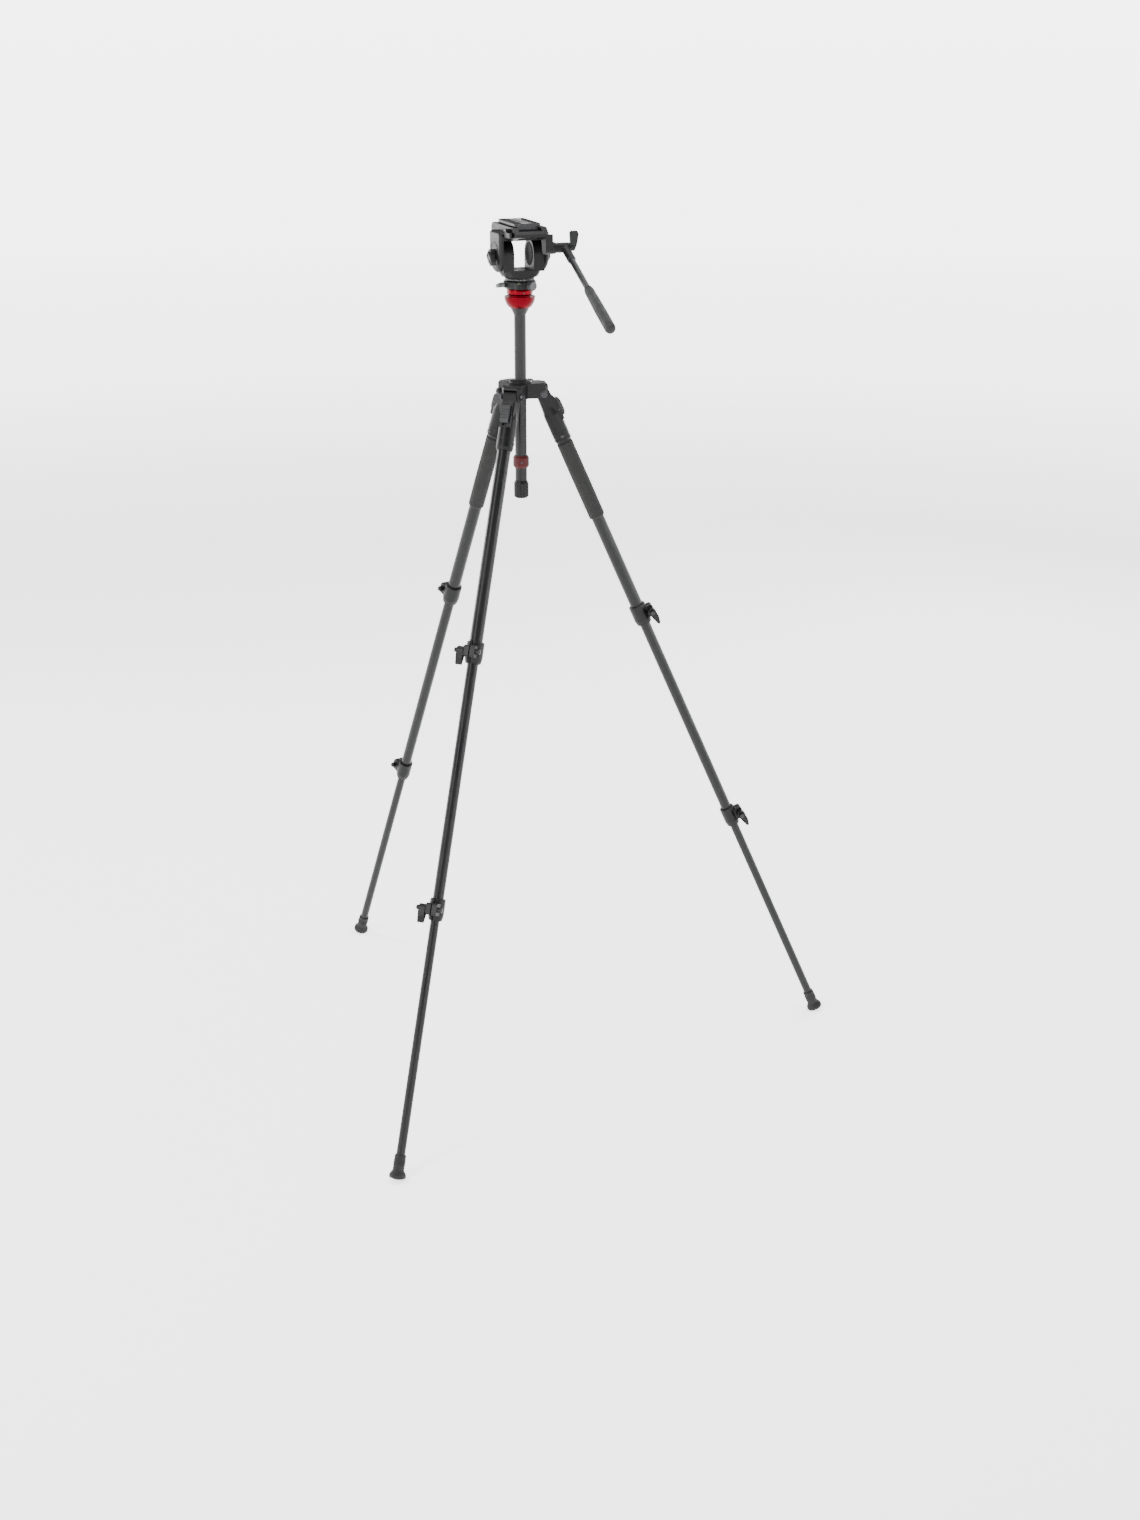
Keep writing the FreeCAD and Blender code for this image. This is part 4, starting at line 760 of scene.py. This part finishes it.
def make_cheek_details():
    """Rims and screws on the outer faces of the tilting cheeks, and the drag dial's marks."""
    rims = bmesh.new()
    screws = bmesh.new()
    for side in (-1, 1):
        seat = head_frame @ aimed((side * CHEEK_FACE, 0, 0), X * side)
        ring(rims, seat, 21.8, 23.4, -0.3, 0.7, 0.3)
        for angle in around(3, math.pi / 2):
            point = mm(19.7 * math.cos(angle), 19.7 * math.sin(angle), 0)
            cap_screw(screws, seat @ Matrix.Translation(point), 1.4, 0.8, sink=0.3)
    add_piece("cheek_rims", rims, "tilt_bridge", finishes["black_casting"])
    add_piece("cheek_screws", screws, "tilt_bridge", dark_screw)
    marks = bmesh.new()
    seat = head_frame @ aimed((CHEEK_FACE, 0, 0), X)
    for angle in around(24, math.radians(7.5)):
        spot = seat @ Matrix.Rotation(angle, 4, "Z")
        slab(marks, rectangle(16.2, -0.18, 17.8, 0.18), -0.1, 0.12, spot)
    add_piece("drag_marks", marks, "tilt_bridge", scale_paint)


def make_dial_cap():
    """Cap and pointer on the drag dial."""
    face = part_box("tilt_drag_dial")[1].x / MM
    seat = aimed((face, 0, 0), X)
    place = Matrix.Translation(Z * pivot("head_tilt").z) @ seat
    mesh = bmesh.new()
    cap = [(0, -0.3), (9.2, -0.3), (9.2, 0.3), (8.7, 0.8), (7.4, 0.8), (6.9, 0.45), (0, 0.45)]
    lathe(mesh, cap, place, segments=60)
    add_piece("dial_cap", mesh, "tilt_drag_dial", finishes["dark_grey_knob"])
    pointer = bmesh.new()
    slab(pointer, rectangle(10.2, -0.35, 13.4, 0.35), -0.1, 0.12, place)
    add_piece("dial_pointer", pointer, "tilt_drag_dial", scale_paint)


TILT_LEVER_ANGLE = math.radians(-55)


def make_tilt_lever_details():
    """Screw and finger ribs on the tilt lock lever."""
    face = -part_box("tilt_lock_lever")[0].x / MM
    place = head_frame @ Matrix.Rotation(TILT_LEVER_ANGLE, 4, "X")
    screw = bmesh.new()
    cap_screw(screw, place @ aimed((-face, 0, 0), -X), 2.7, 0.9)
    add_piece("tilt_lever_screw", screw, "tilt_lock_lever", dark_screw)
    ribs = bmesh.new()
    for drop in (14.5, 17.0, 19.5, 22.0):
        bar(ribs, 8.0, 0.6, place @ aimed((-face + 0.15, 0, -drop), Y))
    add_piece("tilt_lever_ribs", ribs, "tilt_lock_lever", finishes["black_lock"])


DECK_TOP = 52


def make_deck_details():
    """Position marks along the deck's edge, and the screws in its corners."""
    marks = bmesh.new()
    for n in range(-10, 11):
        length = 3.2 if n % 5 == 0 else 1.8
        outline = rectangle(26.6, n * 5 - 0.15, 26.6 + length, n * 5 + 0.15)
        slab(marks, outline, DECK_TOP - 0.1, DECK_TOP + 0.08, head_frame)
    add_piece("deck_marks", marks, "tilt_bridge", scale_paint)
    screws = bmesh.new()
    for x in (-28.2, 28.2):
        for y in (-52, 52):
            cap_screw(screws, head_frame @ aimed((x, y, DECK_TOP), Z), 2.1, 0.7)
    add_piece("deck_screws", screws, "tilt_bridge", dark_screw)


def make_plate_pads():
    """Ribbed rubber pads on the camera plate."""
    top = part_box("camera_plate")[1].z / MM
    mesh = bmesh.new()
    for side in (-1, 1):
        slab(mesh, rectangle(side * 16.5 - 5.5, -43, side * 16.5 + 5.5, 43), top - 0.1, top + 0.5,
             Matrix.Identity(4), bevel=0.2)
        for n in range(-16, 17):
            place = Matrix.Translation(mm(side * 16.5, n * 2.5, top + 0.45)) @ aimed((0, 0, 0), X)
            bar(mesh, 9.6, 0.5, place)
    add_piece("plate_pads", mesh, "camera_plate", pad_rubber)


THREAD_PITCH = 25.4 / 20
THREAD_ROOT = 2.5
THREAD_CREST = 3.15
THREAD_TURNS = 4.1
THREAD_STEPS = 40
THREAD_FADE = 0.06


def make_camera_screw():
    """Quarter-inch camera screw: flanged head, neck and a real thread."""
    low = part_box("camera_screw")[0].z / MM
    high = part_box("camera_screw")[1].z / MM
    mesh = bmesh.new()
    base = Matrix.Translation(mm(0, 0, low))
    head = [(0, 0.9), (1.4, 0.9), (1.6, 0.1), (7.6, 0), (8.15, 0.5), (8.15, 2.6), (7.7, 3.0),
            (0, 3.0)]
    lathe(mesh, head, base, segments=60)
    length = high - low
    neck = [(0, 2.9), (2.65, 2.9), (2.65, length - 1.0), (1.9, length), (0, length)]
    lathe(mesh, neck, base, segments=48)
    start = length - 5.7
    last = THREAD_STEPS * THREAD_TURNS
    previous = None
    for n in range(int(last) + 1):
        angle = 2 * math.pi * n / THREAD_STEPS
        height = start + THREAD_PITCH * n / THREAD_STEPS
        crest = min(THREAD_CREST, THREAD_ROOT + n * THREAD_FADE,
                    THREAD_ROOT + (last - n) * THREAD_FADE)
        cut = [(THREAD_ROOT, height - 0.55), (crest, height - 0.1), (crest, height + 0.1),
               (THREAD_ROOT, height + 0.55)]
        corners = []
        for reach, z in cut:
            point = mm(reach * math.cos(angle), reach * math.sin(angle), z)
            corners.append(mesh.verts.new(base @ point))
        if previous:
            for k in range(4):
                after = (k + 1) % 4
                mesh.faces.new([previous[k], previous[after], corners[after], corners[k]])
        else:
            mesh.faces.new(corners)
        previous = corners
    mesh.faces.new(previous)
    screw = add_piece("camera_screw_threaded", mesh, "camera_screw", finishes["steel"])
    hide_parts("camera_screw")


def make_level_details():
    """Bezel, ring mark and air bubble of the spirit level; the bubble's light colour is a painted glint."""
    low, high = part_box("bubble_level")
    centre = (low + high) / 2
    top = Matrix.Translation(Vector((centre.x, centre.y, high.z)))
    bezel = bmesh.new()
    ring(bezel, top, 5.05, 6.6, -2.2, 0.25, 0.25)
    add_piece("level_bezel", bezel, "head_base", finishes["dark_grey_knob"])
    mark = bmesh.new()
    ring(mark, top, 2.15, 2.45, -0.05, 0.06, 0.03)
    add_piece("level_ring_mark", mark, "head_base", finishes["black_lock"])
    bubble = bmesh.new()
    dome = [(0, -0.05), (1.7, -0.05), (1.75, 0.03), (1.3, 0.12), (0.7, 0.17), (0, 0.18)]
    lathe(bubble, dome, top @ Matrix.Translation(mm(0.3, 0.2, 0)), segments=30)
    add_piece("level_air_bubble", bubble, "head_base", painted_bubble_glint)


# Light green colour of the air bubble: a painted glint.
painted_bubble_glint = coated("bubble_glint", (0.62, 0.80, 0.34), 0.12, spread=0.05, depth=0.005, wear=0.0)

# ---------------------------------------------------------------- pan handle

CLAMP_END = 40
CLAMP_RADIUS = 7.8
WING_HUB_END = 82.2
GRIP_START = 132
GRIP_END = 262
HANDLE_GRIP_RADIUS = 10


def make_handle_fittings():
    """Toothed rosette edge, the tube's pinch screw and the ferrule at the clamp's mouth."""
    rosette = bmesh.new()
    washer = (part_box("handle_clamp")[0].x - pivot("handle_swivel").x) / MM
    seat = handle_frame @ aimed((washer, 0, 0), X)
    wheel = [(8.5, 0.1), (10.9, 0.1, teeth(36, 0.045)), (10.9, 1.3, teeth(36, 0.045)), (8.5, 1.3)]
    lathe(rosette, wheel, seat, segments=216, closed=True)
    add_piece("clamp_rosette", rosette, "pan_handle", finishes["black_casting"])
    screw = bmesh.new()
    cap_screw(screw, handle_frame @ aimed((0, -31, CLAMP_RADIUS), Z), 2.7, 1.4, sink=1.0)
    add_piece("clamp_tube_screw", screw, "pan_handle", dark_screw)
    ferrule = bmesh.new()
    mouth = handle_frame @ aimed((0, -CLAMP_END, 0), -Y)
    ring(ferrule, mouth, 5.8, 7.4, -0.2, 2.2, 0.4)
    add_piece("clamp_ferrule", ferrule, "pan_handle", dark_screw)


def make_handle_grip():
    """Rubber grip: collar, fluted body, smooth waist rings and a rounded end."""
    mesh = bmesh.new()
    place = handle_frame @ aimed((0, -GRIP_START, 0), -Y)
    length = GRIP_END - GRIP_START
    stations = 96
    inner = 5.8
    profile = [(inner, 0.2), (HANDLE_GRIP_RADIUS - 3.3, 0.2), (HANDLE_GRIP_RADIUS - 2.3, 1.1),
               (HANDLE_GRIP_RADIUS - 2.2, 4.6), (HANDLE_GRIP_RADIUS - 2.9, 5.4),
               (HANDLE_GRIP_RADIUS - 2.9, 6.6)]
    start = 8.0
    stop = length - 15
    for n in range(stations + 1):
        down = start + (stop - start) * n / stations
        radius = HANDLE_GRIP_RADIUS - 1.3 + 1.25 * min(1.0, down / (length * 0.5))
        fade = min(1.0, (down - start) / 5, (stop - down) / 5)
        profile.append((radius, down, teeth(18, 0.055 * fade)))
    end = HANDLE_GRIP_RADIUS - 0.05
    profile += [(end, length - 13.6), (end - 0.7, length - 13.0), (end - 0.7, length - 12.0),
                (end, length - 11.4), (end - 0.1, length - 8.5), (end - 1.0, length - 5.2),
                (end - 2.6, length - 2.6), (end - 4.9, length - 0.9), (end - 8.0, length - 0.15),
                (0, length)]
    capped = [(0, 60.0), (inner, 60.0)] + profile
    lathe(mesh, capped, place, segments=108)
    grip = add_piece("handle_grip_rubber", mesh, "pan_handle", grip_rubber,
                     angle=45)
    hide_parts("handle_grip")


def make_wing_knob_cap():
    """Round boss cap on the handle's clamp knob."""
    centre = pivot("handle_swivel")
    mesh = bmesh.new()
    seat = Matrix.Translation(Vector((0, centre.y, centre.z))) @ aimed((WING_HUB_END, 0, 0), X)
    lathe(mesh, [(0, -0.3), (4.2, -0.3), (4.2, 0.2), (3.8, 0.5), (0, 0.6)], seat, segments=40)
    add_piece("wing_knob_cap", mesh, "handle_clamp_knob",
              finishes["dark_grey_knob"])


# ---------------------------------------------------------------- build

repaint_frame()
for leg in LEGS:
    make_pivot_screws(leg)
    make_bracket_fittings(leg)
    make_bracket_trim(leg)
    make_foot_ribs(leg)
    for level, body, sliding in LOCKS:
        make_lock_details(leg, level, body + leg, sliding)
        make_lever_ribs(leg, level)
for leg in GRIPPED_LEGS:
    make_foam_sleeve(leg)
make_spider_details()
make_knob_caps()
make_ring_screw()
make_neck_screws()
make_pan_scale()
make_drum_covers()
make_cheek_details()
make_dial_cap()
make_tilt_lever_details()
make_deck_details()
make_plate_pads()
make_camera_screw()
make_level_details()
make_handle_fittings()
make_handle_grip()
make_wing_knob_cap()

# ---------------------------------------------------------------- floor, light and camera


NEAR_GLOW = 1.9
FAR_GLOW = 3.8
GLOW_START = 3.0
GLOW_END = 9.0
SKY_GLOW = 0.25
COVE_START = 14000
COVE_RADIUS = 3500


def make_floor():
    """Plain pale floor that turns up into a low wall far behind the object."""
    mesh = bmesh.new()
    place = Matrix.Translation(Vector((0, 0, cad_bounds[0][2])))
    profile = [(0, 0), (400, 0), (4000, 0)]
    for degrees in range(0, 91, 10):
        angle = math.radians(degrees)
        profile.append((COVE_START + COVE_RADIUS * math.sin(angle),
                        COVE_RADIUS * (1 - math.cos(angle))))
    lathe(mesh, profile, place, segments=96)
    data = bpy.data.meshes.new("floor")
    mesh.to_mesh(data)
    mesh.free()
    data.shade_smooth()
    floor = bpy.data.objects.new("floor", data)
    bpy.context.scene.collection.objects.link(floor)
    finish = Finish("floor_paper")
    speck = finish.cloud(finish.place, 3.0, 2.0)
    finish.set("Base Color", finish.mixed(speck, (0.93, 0.93, 0.93, 1), (0.95, 0.95, 0.95, 1)))
    finish.set("Roughness", 0.9)
    finish.set("Specular IOR Level", 0.2)
    distance = finish.add("ShaderNodeVectorMath", {"operation": "LENGTH"})
    finish.feed(distance.inputs[0], finish.place)
    finish.set("Emission Color", (1.0, 1.0, 1.0, 1.0))
    glow = finish.ranged(distance.outputs["Value"], GLOW_START, GLOW_END, NEAR_GLOW, FAR_GLOW)
    finish.set("Emission Strength", glow)
    data.materials.append(finish.material)


def make_area_light(name, place, target, size, power):
    """Soft rectangular light that faces a point."""
    data = bpy.data.lights.new(name, "AREA")
    data.shape = "RECTANGLE"
    data.size = size[0]
    data.size_y = size[1]
    data.energy = power
    light = bpy.data.objects.new(name, data)
    light.location = place
    light.rotation_euler = (Vector(target) - Vector(place)).to_track_quat("-Z", "Y").to_euler()
    bpy.context.scene.collection.objects.link(light)


def make_lights():
    """Bright surroundings, with a key from the left, a fill and two strip lights behind."""
    world = bpy.data.worlds.new("studio")
    world.use_nodes = True
    world.node_tree.nodes["Background"].inputs["Color"].default_value = (1.0, 1.0, 1.0, 1.0)
    world.node_tree.nodes["Background"].inputs["Strength"].default_value = SKY_GLOW
    bpy.context.scene.world = world
    middle = (0, 0, 0.9)
    make_area_light("overhead", (0, 0, 4.2), (0, 0, 0), (3.2, 3.2), 170)
    make_area_light("key", (-3.0, -1.6, 2.6), middle, (0.7, 2.8), 110)
    make_area_light("fill", (3.0, -2.2, 2.2), middle, (1.2, 2.4), 40)
    make_area_light("back_left", (-2.4, 2.6, 2.2), middle, (0.7, 2.8), 80)
    make_area_light("back_right", (2.6, 2.2, 2.4), middle, (0.7, 2.8), 70)


CAMERA_PLACE = (-1.236, -3.639, 2.041)
CAMERA_DOWN = 20.54
CAMERA_RIGHT = 20.13
LENS = 49.03


def make_camera():
    data = bpy.data.cameras.new("camera")
    data.sensor_fit = "AUTO"
    data.sensor_width = 36
    data.lens = LENS
    data.clip_start = 0.05
    data.clip_end = 200
    camera = bpy.data.objects.new("camera", data)
    camera.location = CAMERA_PLACE
    camera.rotation_euler = (math.radians(90 - CAMERA_DOWN), 0, math.radians(-CAMERA_RIGHT))
    bpy.context.scene.collection.objects.link(camera)
    bpy.context.scene.camera = camera


make_floor()
make_lights()
make_camera()
